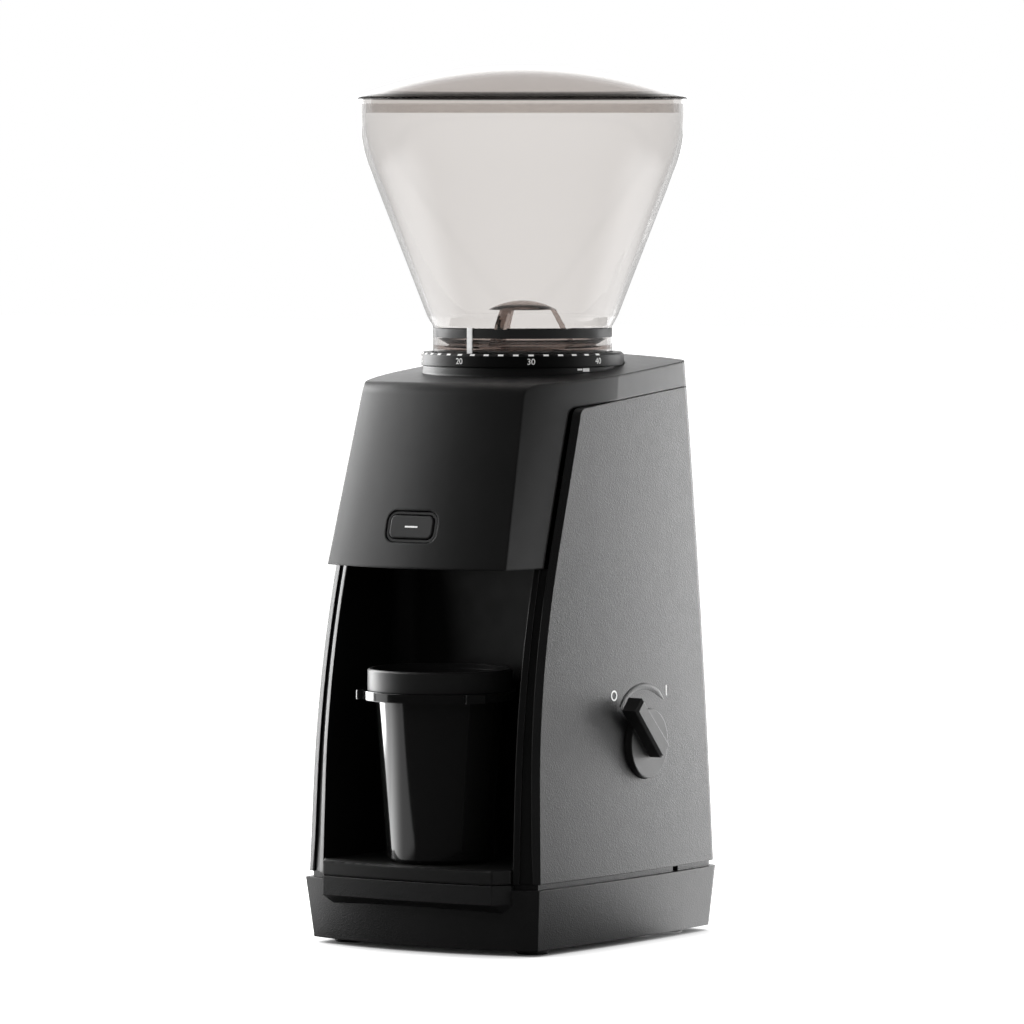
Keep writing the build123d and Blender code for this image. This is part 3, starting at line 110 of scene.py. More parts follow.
def newMaterial(name, color, roughness, **sockets):
    mat = bpy.data.materials.new(name)
    mat.use_nodes = True
    shader = shaderOf(mat)
    shader.inputs["Base Color"].default_value = (*color, 1.0)
    shader.inputs["Roughness"].default_value = roughness
    for socket, value in sockets.items():
        shader.inputs[socket.replace("_", " ")].default_value = value
    mat.diffuse_color = (*color, 1.0)
    return mat


def objectCoords(mat):
    return addNode(mat, "ShaderNodeTexCoord").outputs["Object"]


def softEdges(mat, radius):
    bevelSamples = 6
    return addNode(mat, "ShaderNodeBevel", samples=bevelSamples, Radius=radius * mm).outputs["Normal"]


uneven = {"detail": 4.0, "noise": (0.3, 0.7)}      # the noise hardly leaves this span


def mottle(mat, socket, low, high, sizeMm):
    # slow unevenness of one number or colour over the surface
    noise = addNode(mat, "ShaderNodeTexNoise", Scale=1 / (sizeMm * mm), Detail=uneven["detail"])
    link(mat, objectCoords(mat), noise.inputs["Vector"])
    if isinstance(low, tuple):
        result = colorRamp(mat, noise.outputs["Fac"], list(zip(uneven["noise"], (low, high))))
    else:
        result = mapRange(mat, noise.outputs["Fac"], uneven["noise"], (low, high))
    link(mat, result, shaderOf(mat).inputs[socket])


grain = {"smooth": 0.6, "finer": 2.3, "fineDetail": 3.0, "fineShare": 0.45}


def grainBump(mat, look):
    # moulded grain: cells broken up by a finer noise, over softened edges
    coords = objectCoords(mat)
    perMetre = 1 / (look["grain"] * mm)
    cells = addNode(mat, "ShaderNodeTexVoronoi", feature="SMOOTH_F1", Scale=perMetre,
                    Smoothness=grain["smooth"])
    fine = addNode(mat, "ShaderNodeTexNoise", Scale=grain["finer"] * perMetre, Detail=grain["fineDetail"])
    link(mat, coords, cells.inputs["Vector"])
    link(mat, coords, fine.inputs["Vector"])
    height = calc(mat, "MULTIPLY_ADD", fine.outputs["Fac"], grain["fineShare"], cells.outputs["Distance"])
    bump = addNode(mat, "ShaderNodeBump", Strength=look["bump"], Distance=look["depth"] * mm)
    link(mat, height, bump.inputs["Height"])
    link(mat, softEdges(mat, look["edge"]), bump.inputs["Normal"])
    link(mat, bump.outputs["Normal"], shaderOf(mat).inputs["Normal"])


# grain, depth and edge are in mm
caseFinish = {"dark": (0.005, 0.005, 0.0053), "light": (0.007, 0.007, 0.0073), "rough": (0.45, 0.48),
              "grain": 0.55, "depth": 0.07, "bump": 0.8, "edge": 0.5, "sheen": 0.5}
coverFinish = {"dark": (0.004, 0.004, 0.004), "light": (0.006, 0.006, 0.006), "rough": (0.46, 0.49),
               "grain": 0.30, "depth": 0.02, "bump": 0.30, "edge": 1.2, "sheen": 0.5}
dialFinish = {"dark": (0.002, 0.002, 0.002), "light": (0.003, 0.003, 0.003), "rough": (0.46, 0.50),
              "grain": 0.25, "depth": 0.012, "bump": 0.2, "edge": 0.5, "sheen": 0.26}
controlFinish = {"dark": (0.006, 0.006, 0.006), "light": (0.008, 0.008, 0.008), "rough": (0.44, 0.47),
                 "grain": 0.25, "depth": 0.015, "bump": 0.25, "edge": 0.5, "sheen": 0.5}
linerFinish = {"dark": (0.002, 0.002, 0.002), "light": (0.003, 0.003, 0.003), "rough": (0.40, 0.46),
               "grain": 0.30, "depth": 0.015, "bump": 0.25, "edge": 0.5, "sheen": 0.5}
mouldedPatch = {"color": 30, "rough": 5}      # mm


def mouldedPlastic(name, look):
    # black plastic with a moulded grain
    mat = newMaterial(name, look["dark"], look["rough"][0], Specular_IOR_Level=look["sheen"])
    mottle(mat, "Base Color", look["dark"], look["light"], mouldedPatch["color"])
    mottle(mat, "Roughness", *look["rough"], mouldedPatch["rough"])
    grainBump(mat, look)
    return mat


cupFinish = {"color": (0.004, 0.004, 0.004), "rough": (0.08, 0.11), "patch": 20, "edge": 0.5, "ior": 1.5}


def glossPlastic(name, look):
    mat = newMaterial(name, look["color"], look["rough"][0], IOR=look["ior"])
    mottle(mat, "Roughness", *look["rough"], look["patch"])
    link(mat, softEdges(mat, look["edge"]), shaderOf(mat).inputs["Normal"])
    return mat


# absorb is the share lost in a millimetre of wall, so the outline shows as a darker line
hopperLook = {"color": (0.92, 0.90, 0.885), "rough": (0.01, 0.03), "ior": 1.06, "gloss": 0.5, "absorb": 0.033}
guardLook = {"color": (0.42, 0.36, 0.335), "rough": (0.05, 0.07), "ior": 1.12, "gloss": 0.0, "absorb": 0.0}
lidLook = {"color": (0.675, 0.645, 0.625), "rough": (0.03, 0.05), "ior": 1.06, "gloss": 0.0, "absorb": 0.0,
           "skirt": (0.75, 0.725, 0.705), "rim": (0.05, 0.046, 0.043), "rimLow": 5.45, "rimHigh": 7.05,
           "fade": 0.4}
clearPatch = 25      # mm


def clearPlastic(name, look):
    mat = newMaterial(name, look["color"], look["rough"][0], IOR=look["ior"], Transmission_Weight=1.0,
                      Coat_Weight=look["gloss"])
    mottle(mat, "Roughness", *look["rough"], clearPatch)
    if look["absorb"]:
        depth = addNode(mat, "ShaderNodeVolumeAbsorption", Color=(0.0, 0.0, 0.0, 1.0),
                        Density=look["absorb"] / mm)
        link(mat, depth.outputs["Volume"], outputOf(mat).inputs["Volume"])
    return mat


def smokyLid(name, look):
    # the lid's thick rim is darker than its dome and skirt
    mat = clearPlastic(name, look)
    low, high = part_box("hopper_lid")
    tall = (high[2] - low[2]) / mm
    split = addNode(mat, "ShaderNodeSeparateXYZ")
    link(mat, objectCoords(mat), split.inputs["Vector"])
    level = mapRange(mat, split.outputs["Z"], (low[2], high[2]), (0.0, 1.0))
    skirt, rim, dome = look["skirt"], look["rim"], look["color"]
    bands = [(0.0, skirt), (look["rimLow"] - look["fade"], skirt), (look["rimLow"], rim),
             (look["rimHigh"], rim), (look["rimHigh"] + look["fade"], dome), (tall, dome)]
    tone = colorRamp(mat, level, [(at / tall, color) for at, color in bands])
    link(mat, tone, shaderOf(mat).inputs["Base Color"])
    return mat


plainShares = {"dark": 0.9, "light": 1.08}


def plain(name, color, rough, metallic=0.0, sizeMm=6):
    low, high = rough
    mat = newMaterial(name, color, (low + high) / 2, Metallic=metallic)
    mottle(mat, "Roughness", low, high, sizeMm)
    dark = tuple(plainShares["dark"] * c for c in color)
    light = tuple(min(1.0, plainShares["light"] * c) for c in color)
    mottle(mat, "Base Color", dark, light, sizeMm)
    return mat


steelLook = {"rough": (0.26, 0.40), "lines": (300, 300, 4000), "detail": 2.0, "bump": 0.15, "depth": 0.02}


def brushedSteel(name, color):
    mat = plain(name, color, steelLook["rough"], metallic=1.0)
    stretch = addNode(mat, "ShaderNodeMapping", Scale=steelLook["lines"])
    lines = addNode(mat, "ShaderNodeTexNoise", Scale=1.0, Detail=steelLook["detail"])
    bump = addNode(mat, "ShaderNodeBump", Strength=steelLook["bump"], Distance=steelLook["depth"] * mm)
    link(mat, objectCoords(mat), stretch.inputs["Vector"])
    link(mat, stretch.outputs["Vector"], lines.inputs["Vector"])
    link(mat, lines.outputs["Fac"], bump.inputs["Height"])
    link(mat, bump.outputs["Normal"], shaderOf(mat).inputs["Normal"])
    return mat


caseBlack = mouldedPlastic("caseBlack", caseFinish)
coverBlack = mouldedPlastic("coverBlack", coverFinish)
dialBlack = mouldedPlastic("dialBlack", dialFinish)
controlBlack = mouldedPlastic("controlBlack", controlFinish)
linerBlack = mouldedPlastic("linerBlack", linerFinish)
glossBlack = glossPlastic("glossBlack", cupFinish)
hopperClear = clearPlastic("hopperClear", hopperLook)
lidSmoke = smokyLid("lidSmoke", lidLook)
guardSmoke = clearPlastic("guardSmoke", guardLook)
rubberBlack = plain("rubberBlack", (0.015, 0.015, 0.015), (0.60, 0.75))
innerBlack = plain("innerBlack", (0.03, 0.03, 0.03), (0.45, 0.60))
steelPlain = brushedSteel("steelPlain", (0.56, 0.56, 0.57))
burrSteel = brushedSteel("burrSteel", (0.42, 0.42, 0.43))
bronzeBush = plain("bronzeBush", (0.50, 0.34, 0.16), (0.35, 0.50), metallic=1.0)
gearNylon = plain("gearNylon", (0.74, 0.72, 0.64), (0.40, 0.50))
feltGrey = plain("feltGrey", (0.33, 0.31, 0.29), (0.85, 0.95), sizeMm=1)
boardGreen = plain("boardGreen", (0.03, 0.14, 0.06), (0.35, 0.50))
printWhite = plain("printWhite", (0.90, 0.90, 0.89), (0.45, 0.55), sizeMm=2)
print("finishes made")

nodeFinish = {
    caseBlack: ["left_case", "right_case", "base", "bottom_cover"],
    coverBlack: ["top_cover", "cup_tray"],
    dialBlack: ["dial_ring"],
    linerBlack: ["bay_frame", "grounds_chute"],
    glossBlack: ["dosing_cup"],
    controlBlack: ["power_knob", "pulse_button", "button_bezel", "cup_ring"],
    hopperClear: ["hopper"],
    lidSmoke: ["hopper_lid"],
    guardSmoke: ["bean_guard"],
    rubberBlack: ["rubber_feet", "hopper_seal", "motor_pads", "cord_gland"],
    burrSteel: ["ring_burr", "cone_burr"],
    bronzeBush: ["lower_bearing"],
    innerBlack: ["adjusting_ring", "ring_burr_holder", "grounds_sweeper", "grind_chamber", "gearbox_housing",
                 "gearbox_cover", "motor_end_cap", "rotary_switch", "thermal_cutoff"],
    gearNylon: ["output_gear", "idler_gear"],
    feltGrey: ["felt_washer"],
    boardGreen: ["pulse_switch_board", "control_board"],
    steelPlain: ["cone_burr_nut", "drive_shaft", "upper_bearing", "idler_pin", "motor_shaft", "motor_can",
                 "motor_pinion", "motor_rotor", "switch_nut", "switch_shaft", "chamber_screws",
                 "cover_screws", "gearbox_screws", "board_screws", "bottom_screws", "case_screws"],
}
for finish, names in nodeFinish.items():
    for name in names:
        nodes[name].data.materials.clear()
        nodes[name].data.materials.append(finish)
print("finishes on the nodes")


def putOnBody(name, mesh, finish, body, slotName):
    mesh.materials.append(finish)
    obj = bpy.data.objects.new(name, mesh)
    bpy.context.scene.collection.objects.link(obj)
    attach(obj, body)


def addMesh(name, verts, faces, finish, body, slotName, smooth=False):
    mesh = bpy.data.meshes.new(name)
    mesh.from_pydata([Vector(v) for v in verts], [], faces)
    bm = bmesh.new()
    bm.from_mesh(mesh)
    bmesh.ops.recalc_face_normals(bm, faces=bm.faces)
    bm.to_mesh(mesh)
    bm.free()
    for face in mesh.polygons:
        face.use_smooth = smooth
    putOnBody(name, mesh, finish, body, slotName)


def gridMesh(rows):
    # verts and faces of a sheet given row by row
    count = len(rows[0])
    verts = [p for row in rows for p in row]
    faces = []
    for i in range(len(rows) - 1):
        for k in range(count - 1):
            a = i * count + k
            faces.append((a, a + 1, a + 1 + count, a + count))
    return verts, faces


def ringMesh(loops):
    # a closed band through loops of points, the last joined to the first
    count = len(loops[0])
    verts = [p for loop in loops for p in loop]
    faces = []
    for i in range(len(loops)):
        near, far = i * count, (i + 1) % len(loops) * count
        for k in range(count):
            after = (k + 1) % count
            faces.append((near + k, near + after, far + after, far + k))
    return verts, faces


def solidPatch(outer, inner):
    # a thin closed plate from its outer and inner sheet, both lists of rows
    verts, faces = gridMesh(outer)
    back, backFaces = gridMesh(inner)
    shift = len(verts)
    faces = faces + [tuple(reversed([i + shift for i in face])) for face in backFaces]
    rows, cols = len(outer), len(outer[0])
    rim = list(range(cols))
    rim += [r * cols + cols - 1 for r in range(1, rows)]
    rim += [(rows - 1) * cols + k for k in range(cols - 2, -1, -1)]
    rim += [r * cols for r in range(rows - 2, 0, -1)]
    for a, b in zip(rim, rim[1:] + rim[:1]):
        faces.append((b, a, a + shift, b + shift))
    return verts + back, faces


def joinedPatches(patches):
    verts, faces = [], []
    for patchVerts, patchFaces in patches:
        faces += [tuple(i + len(verts) for i in face) for face in patchFaces]
        verts += patchVerts
    return verts, faces


def onAxis(radius, angle, z):
    # a point round the hopper's axis; the angle counts from the front towards +X
    return (radius * sin(angle), axisY - radius * cos(angle), z)


def arcAngles(middle, half, steps):
    return [middle - half + 2 * half * k / steps for k in range(steps + 1)]


lettering = {"curveSteps": 6, "weld": 1e-6, "edgesPerSize": 6, "cuts": 2}


def flatText(text, size):
    # letters as a flat mesh, centred on x = 0 and y = 0
    curve = bpy.data.curves.new("text" + text, "FONT")
    curve.body = text
    curve.size = size
    curve.align_x = "CENTER"
    curve.align_y = "CENTER"
    curve.resolution_u = lettering["curveSteps"]
    temp = bpy.data.objects.new("text" + text, curve)
    mesh = bpy.data.meshes.new_from_object(temp)
    bpy.data.objects.remove(temp)
    bpy.data.curves.remove(curve)
    return mesh


def printedText(name, text, size, place, thick, body, slotName):
    # place(x, y, out) gives the point of the surface under a point of the text
    flat = flatText(text, size)
    bm = bmesh.new()
    bm.from_mesh(flat)
    bpy.data.meshes.remove(flat)
    bmesh.ops.remove_doubles(bm, verts=bm.verts, dist=lettering["weld"])
    longEdges = [e for e in bm.edges if e.calc_length() > size / lettering["edgesPerSize"]]
    bmesh.ops.subdivide_edges(bm, edges=longEdges, cuts=lettering["cuts"])
    sunk = list(bm.verts)
    extruded = bmesh.ops.extrude_face_region(bm, geom=list(bm.faces))
    raised = {v for v in extruded["geom"] if isinstance(v, bmesh.types.BMVert)}
    for v in sunk:
        v.co = place(v.co.x, v.co.y, -thick)
    for v in raised:
        v.co = place(v.co.x, v.co.y, thick)
    bmesh.ops.recalc_face_normals(bm, faces=bm.faces)
    mesh = bpy.data.meshes.new(name)
    bm.to_mesh(mesh)
    bm.free()
    putOnBody(name, mesh, printWhite, body, slotName)


# degrees round the dial and mm; a tick lies across the chamfer of the dial's top edge
dial = {"numbers": (0, 10, 20, 30, 40), "zeroAt": -91.55, "perUnit": 4.305, "size": 3.3, "raise": 0.05,
        "chamfer": 0.8, "tickEvery": 2, "tick": 2.1, "tickRaise": 0.04, "tickShares": (0.12, 0.88),
        "tickSteps": 4}


def dialAngle(unit):
    return radians(dial["zeroAt"] + unit * dial["perUnit"])


def dialMarks():
    low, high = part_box("dial_ring")
    radius, top = high[0], high[2]
    chamfer = dial["chamfer"] * mm
    middle = (low[2] + top - chamfer) / 2
    for number in dial["numbers"]:

        def place(x, y, out, angle=dialAngle(number)):
            return onAxis(radius + out, angle + x / radius, middle + y)

        printedText("dialNumber%02d" % number, str(number), dial["size"] * mm, place, dial["raise"] * mm,
                    "casing", "cover_black")
    half = dial["tick"] * mm / radius / 2
    patches = []
    for unit in range(0, dial["numbers"][-1] + 1, dial["tickEvery"]):
        angles = arcAngles(dialAngle(unit), half, dial["tickSteps"])
        sheets = [[[onAxis(radius - chamfer * share + out, angle, top - chamfer + chamfer * share + out)
                    for angle in angles] for share in dial["tickShares"]]
                  for out in (dial["tickRaise"] * mm, -dial["tickRaise"] * mm)]
        patches.append(solidPatch(*sheets))
    addMesh("dialTicks", *joinedPatches(patches), printWhite, "casing", "cover_black")


index = {"angle": -2.6, "width": 2.3, "low": 228.6, "high": 238.6, "radius": 35.06, "raise": 0.55,
         "sink": 0.02, "steps": 6}


def hopperIndex():
    # white setting line on the outside of the collar
    angles = arcAngles(radians(index["angle"]), index["width"] / index["radius"] / 2, index["steps"])
    sheets = [[[onAxis((index["radius"] + out) * mm, angle, z * mm) for angle in angles]
               for z in (index["low"], index["high"])] for out in (index["raise"], -index["sink"])]
    addMesh("hopperIndexLine", *solidPatch(*sheets), printWhite, "hopper_group", "clear_smoke")


throat = {"topR": 33.0, "topZ": 233.8, "footR": 27.0, "footZ": 230.2, "wall": 1.2, "sides": 96}


def throatFunnel():
    # smoky cone below the finger guard that leads the beans down
    profile = [(throat["topR"], throat["topZ"]), (throat["footR"], throat["footZ"]),
               (throat["footR"] - throat["wall"], throat["footZ"]),
               (throat["topR"] - throat["wall"], throat["topZ"])]
    loops = [[onAxis(radius * mm, 2 * pi * k / throat["sides"], z * mm) for k in range(throat["sides"])]
             for radius, z in profile]
    addMesh("throatFunnel", *ringMesh(loops), guardSmoke, "hopper_group", "clear_smoke", smooth=True)


ink = (0.06, -0.05)      # mm that a flat mark stands out of its surface and reaches into it
neck = {"radius": 39.0, "steps": 4, "dashes": [{"angle": 67.5, "z": 222.5, "length": 2.3, "width": 0.7},
                                               {"angle": 72.0, "z": 222.3, "length": 3.2, "width": 1.3}]}


def neckDashes():
    # two white dashes on the upright neck under the dial
    patches = []
    for dash in neck["dashes"]:
        angles = arcAngles(radians(dash["angle"]), dash["length"] / neck["radius"] / 2, neck["steps"])
        levels = (dash["z"] - dash["width"] / 2, dash["z"] + dash["width"] / 2)
        sheets = [[[onAxis((neck["radius"] + out) * mm, angle, z * mm) for angle in angles] for z in levels]
                  for out in ink]
        patches.append(solidPatch(*sheets))
    addMesh("neckMarks", *joinedPatches(patches), printWhite, "casing", "cover_black")


# right wall: x and y of three points of its foot, the x lost for each mm of height, and the foot's height
wall = {"front": (53.1, -71.0), "middle": (57.2, 0.0), "rear": (56.3, 54.0), "lean": 0.033, "foot": 27.9}


def circleThrough(a, b, c):
    d = 2 * (a[0] * (b[1] - c[1]) + b[0] * (c[1] - a[1]) + c[0] * (a[1] - b[1]))
    sa, sb, sc = (p[0] ** 2 + p[1] ** 2 for p in (a, b, c))
    x = (sa * (b[1] - c[1]) + sb * (c[1] - a[1]) + sc * (a[1] - b[1])) / d
    y = (sa * (c[0] - b[0]) + sb * (a[0] - c[0]) + sc * (b[0] - a[0])) / d
    return x, y, sqrt((a[0] - x) ** 2 + (a[1] - y) ** 2)


wallX, wallY, wallR = circleThrough(wall["front"], wall["middle"], wall["rear"])


def wallPoint(y, z, out):
    # a point of the right wall, in mm from the hopper's axis and the floor
    x = wallX + sqrt(wallR ** 2 - (y - wallY) ** 2) - wall["lean"] * (z - wall["foot"]) + out
    return (x * mm, axisY + y * mm, z * mm)


offMark = {"at": (-19.2, 97.0), "radius": 1.75, "stroke": 0.62, "sides": 40}


def knobRing():
    # the off mark, a ring
    y0, z0 = offMark["at"]
    turns = [2 * pi * k / offMark["sides"] for k in range(offMark["sides"])]
    half = offMark["stroke"] / 2
    inside, outside = offMark["radius"] - half, offMark["radius"] + half
    proud, sunk = ink
    loops = [[wallPoint(y0 + radius * cos(turn), z0 + radius * sin(turn), out) for turn in turns]
             for radius, out in ((inside, proud), (outside, proud), (outside, sunk), (inside, sunk))]
    addMesh("offMark", *ringMesh(loops), printWhite, "casing", "case_black")


onMark = {"at": (18.0, 96.9), "length": 4.0, "stroke": 0.62}


def knobBar():
    # the on mark, a bar
    y0, z0 = onMark["at"]
    half = onMark["stroke"] / 2
    sheets = [[[wallPoint(y0 + y, z0 + z, out) for y in (-half, half)]
               for z in (-onMark["length"] / 2, 0, onMark["length"] / 2)] for out in ink]
    addMesh("onMark", *solidPatch(*sheets), printWhite, "casing", "case_black")


arc = {"y": 0.8, "z": 77.4, "inner": 20.6, "outer": 23.4, "from": -47.0, "to": 43.0, "high": 0.45,
       "sink": 0.05, "under": 0.3, "endSwell": 0.25, "swellRate": 6, "steps": 48, "across": 8}


def knobArc():
    # raised arc over the knob, low and round-backed, running out at both ends
    middle, width = (arc["inner"] + arc["outer"]) / 2, arc["outer"] - arc["inner"]
    top, under = [], []
    for i in range(arc["steps"] + 1):
        share = i / arc["steps"]
        angle = radians(arc["from"] + share * (arc["to"] - arc["from"]))
        swell = min(1.0, arc["swellRate"] * min(share, 1 - share) + arc["endSwell"])
        topRow, underRow = [], []
        for k in range(arc["across"] + 1):
            t = k / arc["across"]
            radius = middle + (t - 0.5) * width * swell
            y, z = arc["y"] + radius * sin(angle), arc["z"] + radius * cos(angle)
            topRow.append(wallPoint(y, z, arc["high"] * sin(pi * t) * swell - arc["sink"]))
            underRow.append(wallPoint(y, z, -arc["under"]))
        top.append(topRow)
        under.append(underRow)
    addMesh("knobArc", *solidPatch(top, under), caseBlack, "casing", "case_black", smooth=True)


button = {"dash": 5.8, "stroke": 0.62, "raise": 0.05}


def buttonDash():
    # white dash across the button, along its own tilted face
    low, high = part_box("pulse_button")
    out = -Vector(joints["button_press"]["axis"]).normalized()
    along = Vector((1, 0, 0))
    up = out.cross(along)
    if up.z < 0:
        up = -up
    face = max(v.co.dot(out) for v in nodes["pulse_button"].data.vertices)
    middle = (Vector(low) + Vector(high)) / 2
    middle = middle + out * (face - middle.dot(out))
    halfDash, halfStroke = button["dash"] / 2, button["stroke"] / 2
    sheets = [[[middle + along * (x * mm) + up * (y * mm) + out * (lift * mm)
                for x in (-halfDash, 0, halfDash)] for y in (-halfStroke, halfStroke)]
              for lift in (button["raise"], -button["raise"])]
    addMesh("buttonDash", *solidPatch(*sheets), printWhite, "button", "gloss_black")


dialMarks()
hopperIndex()
throatFunnel()
neckDashes()
knobRing()
knobBar()
knobArc()
buttonDash()
print("marks made")


lens = {"turn": 32.778, "far": 2.939271, "high": 0.313333, "pitch": 2.875, "yaw": 0.080, "focal": 264.30,
        "sensor": 36.0, "clip": 50}


def makeCamera():
    data = bpy.data.cameras.new("camera")
    data.sensor_width = lens["sensor"]
    data.sensor_fit = "HORIZONTAL"
    data.lens = lens["focal"]
    data.clip_end = lens["clip"]
    camera = bpy.data.objects.new("camera", data)
    turn = radians(lens["turn"])
    camera.location = (lens["far"] * sin(turn), axisY - lens["far"] * cos(turn), lens["high"])
    heading = radians(lens["turn"] + lens["yaw"])
    pitch = radians(lens["pitch"])
    ahead = Vector((-sin(heading) * cos(pitch), cos(heading) * cos(pitch), -sin(pitch)))
    camera.rotation_euler = ahead.to_track_quat("-Z", "Y").to_euler()
    bpy.context.scene.collection.objects.link(camera)
    bpy.context.scene.camera = camera


behindPart = (-sin(radians(lens["turn"])), cos(radians(lens["turn"])), 0)      # away from the camera
mixColorA, mixColorB, mixColorOut = 6, 7, 2      # colour sockets of the Mix node


def turnedBehind(owner, direction):
    # 1 straight behind the part, -1 straight towards the camera
    facing = addNode(owner, "ShaderNodeVectorMath", operation="DOT_PRODUCT")
    facing.inputs[1].default_value = behindPart
    link(owner, direction, facing.inputs[0])
    return facing.outputs["Value"]


def pickLevel(owner, picked, otherLevel, pickedLevel):
    mix = addNode(owner, "ShaderNodeMix")
    feed(owner, picked, mix.inputs["Factor"])
    feed(owner, otherLevel, mix.inputs["A"])
    feed(owner, pickedLevel, mix.inputs["B"])
    return mix.outputs["Result"]


def seenStraight(owner, path):
    # rays from the camera, and those that went on through a clear piece
    return calc(owner, "MAXIMUM", path.outputs["Is Camera Ray"], path.outputs["Is Transmission Ray"])


# mirrored is painted shade, the dark floor colour that only reflections see
floorLook = {"color": (0.55, 0.55, 0.55), "mirrored": (0.03, 0.03, 0.03), "rough": 0.9, "size": 8.0,
             "glow": 0.92, "shade": 0.021, "shadeSamples": 12, "shadePower": 1.2,
             "mirror": 3.9, "behind": (-0.32, 0.28), "reach": (0.50, 1.30), "farShare": 0.16}


def floorTone(mat, path):
    # painted shade in reflections: the floor's colour is swapped for a dark one where glossy rays see it
    tone = addNode(mat, "ShaderNodeMix", data_type="RGBA")
    tone.inputs[mixColorA].default_value = (*floorLook["color"], 1.0)
    tone.inputs[mixColorB].default_value = (*floorLook["mirrored"], 1.0)
    link(mat, path.outputs["Is Glossy Ray"], tone.inputs["Factor"])
    link(mat, tone.outputs[mixColorOut], shaderOf(mat).inputs["Base Color"])


def floorMirror(mat):
    # in reflections bright beside and behind the part, less so far out
    place = objectCoords(mat)
    heading = addNode(mat, "ShaderNodeVectorMath", operation="NORMALIZE")
    distance = addNode(mat, "ShaderNodeVectorMath", operation="LENGTH")
    link(mat, place, heading.inputs[0])
    link(mat, place, distance.inputs[0])
    behind = turnedBehind(mat, heading.outputs["Vector"])
    brightness = (0.0, floorLook["mirror"])
    nearness = (1.0, floorLook["farShare"])
    bright = mapRange(mat, behind, floorLook["behind"], brightness, "SMOOTHSTEP")
    near = mapRange(mat, distance.outputs["Value"], floorLook["reach"], nearness, "SMOOTHSTEP")
    return calc(mat, "MULTIPLY", bright, near)


def floorPale():
    # near white to the camera, with a painted contact shadow close under the part where ambient occlusion
    # dims the glow
    mat = newMaterial("floorPale", floorLook["color"], floorLook["rough"], Specular_IOR_Level=0.0)
    path = addNode(mat, "ShaderNodeLightPath")
    floorTone(mat, path)
    # painted shadow: ambient occlusion darkens the floor's glow close under the part
    paintedShadow = addNode(mat, "ShaderNodeAmbientOcclusion", samples=floorLook["shadeSamples"],
                        Distance=floorLook["shade"])
    shade = calc(mat, "POWER", paintedShadow.outputs["AO"], floorLook["shadePower"])
    level = calc(mat, "MULTIPLY", shade, floorLook["glow"])
    mirrored = calc(mat, "MULTIPLY", path.outputs["Is Glossy Ray"], floorMirror(mat))
    glow = addNode(mat, "ShaderNodeEmission")
    both = addNode(mat, "ShaderNodeAddShader")
    link(mat, pickLevel(mat, seenStraight(mat, path), mirrored, level), glow.inputs["Strength"])
    link(mat, shaderOf(mat).outputs["BSDF"], both.inputs[0])
    link(mat, glow.outputs["Emission"], both.inputs[1])
    link(mat, both.outputs["Shader"], outputOf(mat).inputs["Surface"])
    return mat


def makeFloor():
    mesh = bpy.data.meshes.new("floor")
    s = floorLook["size"]
    mesh.from_pydata([(-s, -s, 0), (s, -s, 0), (s, s, 0), (-s, s, 0)], [], [(0, 1, 2, 3)])
    mesh.materials.append(floorPale())
    floor = bpy.data.objects.new("floor", mesh)
    bpy.context.scene.collection.objects.link(floor)


# shares of the gloss level, from straight across to straight behind the part
room = {"ambient": 0.75, "gloss": 3.1, "white": 1.0,
        "shares": ((0.0, 0.010), (0.40, 0.20), (0.90, 0.24), (0.98, 1.0))}


def makeWorld():
    # white to the camera and through clear pieces; in reflections dark on the camera's side
    world = bpy.data.worlds.new("studio")
    bpy.context.scene.world = world
    world.use_nodes = True
    coords = addNode(world, "ShaderNodeTexCoord")
    path = addNode(world, "ShaderNodeLightPath")
    behind = turnedBehind(world, coords.outputs["Generated"])
    share = colorRamp(world, behind, [(at, (part, part, part)) for at, part in room["shares"]])
    mirrored = calc(world, "MULTIPLY", share, room["gloss"])
    level = pickLevel(world, path.outputs["Is Glossy Ray"], room["ambient"], mirrored)
    level = pickLevel(world, seenStraight(world, path), level, room["white"])
    back = world.node_tree.nodes["Background"]
    back.inputs["Color"].default_value = (1, 1, 1, 1)
    link(world, level, back.inputs["Strength"])


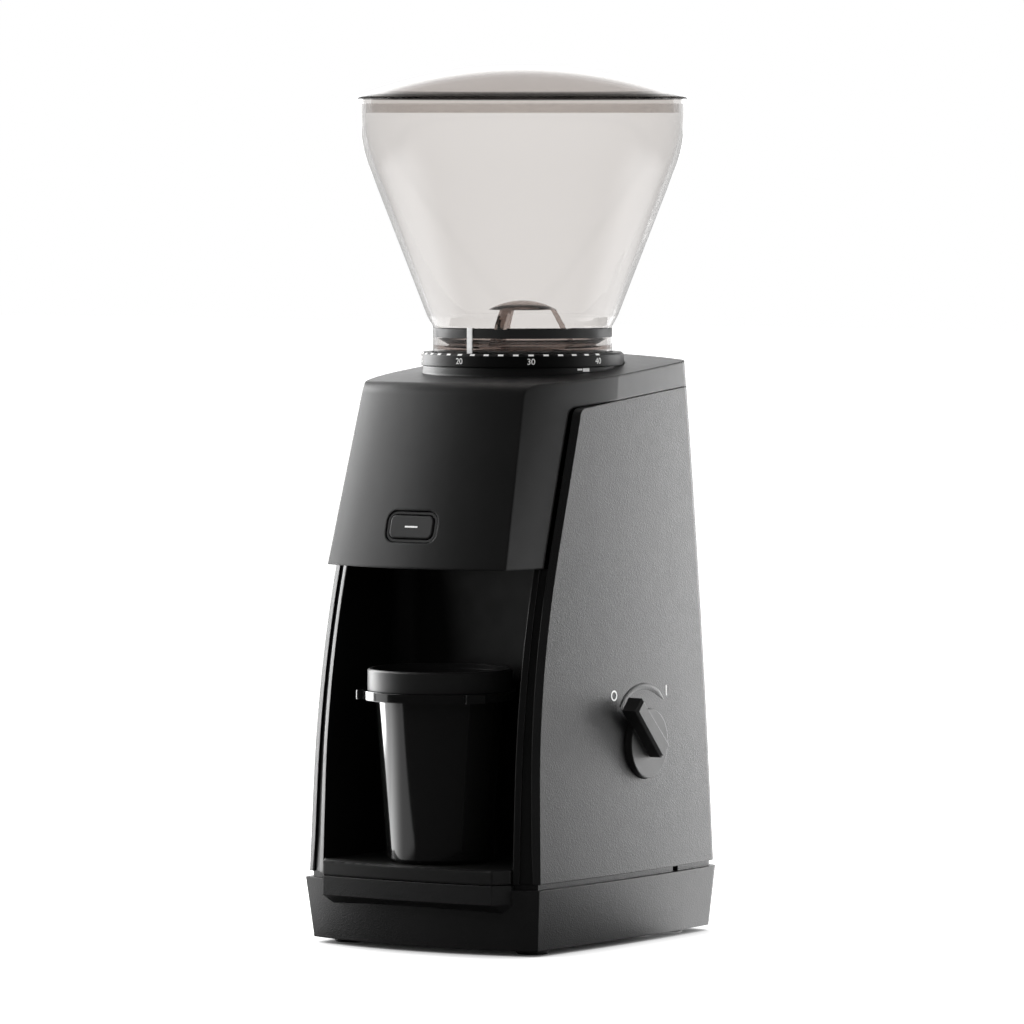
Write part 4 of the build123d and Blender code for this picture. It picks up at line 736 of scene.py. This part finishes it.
# turn counts from the front towards +X; a box with "only" lights that one node
softboxes = {
    "rightRear": {"turn": 160, "far": 0.85, "high": 0.18, "width": 0.35, "tall": 0.36, "watts": 4.1},
    "right": {"turn": 113, "far": 1.00, "high": 0.25, "width": 0.30, "tall": 0.50, "watts": 1.5},
    "left": {"turn": -95, "far": 0.50, "high": 0.25, "width": 0.34, "tall": 0.50, "watts": 5.5},
    "leftFront": {"turn": -50, "far": 1.00, "high": 0.65, "width": 0.50, "tall": 0.50, "watts": 2.8},
    "leftLow": {"turn": -62, "far": 1.00, "high": 0.16, "width": 0.45, "tall": 0.30, "watts": 0.7},
    "top": {"turn": 180, "far": 0.50, "high": 1.30, "width": 0.80, "tall": 0.60, "watts": 8.0},
    "bayFill": {"turn": -42, "far": 1.00, "high": 0.16, "width": 0.45, "tall": 0.30, "watts": 0.45,
                "only": "bay_frame"},
    "cupFill": {"turn": -48, "far": 0.36, "high": 0.01, "width": 0.26, "tall": 0.34, "watts": 0.30,
                "aim": 20.0, "only": "dosing_cup"},
}
aimHeight = 0.17      # where a box without "aim" points, on the hopper's axis
clearNodes = ("hopper", "hopper_lid", "bean_guard")


def allButClear():
    # the clear pieces show the bright room, not the boxes themselves
    lit = bpy.data.collections.new("litBySoftboxes")
    for name in clearNodes:
        lit.objects.link(nodes[name])
    for member in lit.collection_objects:
        member.light_linking.link_state = "EXCLUDE"
    return lit


def oneNode(name, node):
    lit = bpy.data.collections.new("litBy_" + name)
    lit.objects.link(nodes[node])
    return lit


def makeLights():
    lit = allButClear()
    for name, box in softboxes.items():
        lamp = bpy.data.lights.new("softbox_" + name, "AREA")
        lamp.shape = "RECTANGLE"
        lamp.size = box["width"]
        lamp.size_y = box["tall"]
        lamp.energy = box["watts"]
        obj = bpy.data.objects.new("softbox_" + name, lamp)
        turn = radians(box["turn"])
        obj.location = (box["far"] * sin(turn), axisY - box["far"] * cos(turn), box["high"])
        target = Vector((0, axisY, box.get("aim", aimHeight)))
        obj.rotation_euler = (target - obj.location).to_track_quat("-Z", "Y").to_euler()
        obj.visible_camera = False
        obj.visible_transmission = False
        obj.light_linking.receiver_collection = oneNode(name, box["only"]) if "only" in box else lit
        bpy.context.scene.collection.objects.link(obj)


makeFloor()
makeWorld()
makeLights()
makeCamera()
bpy.context.scene.view_settings.view_transform = "Standard"
print("stage, light and camera set")
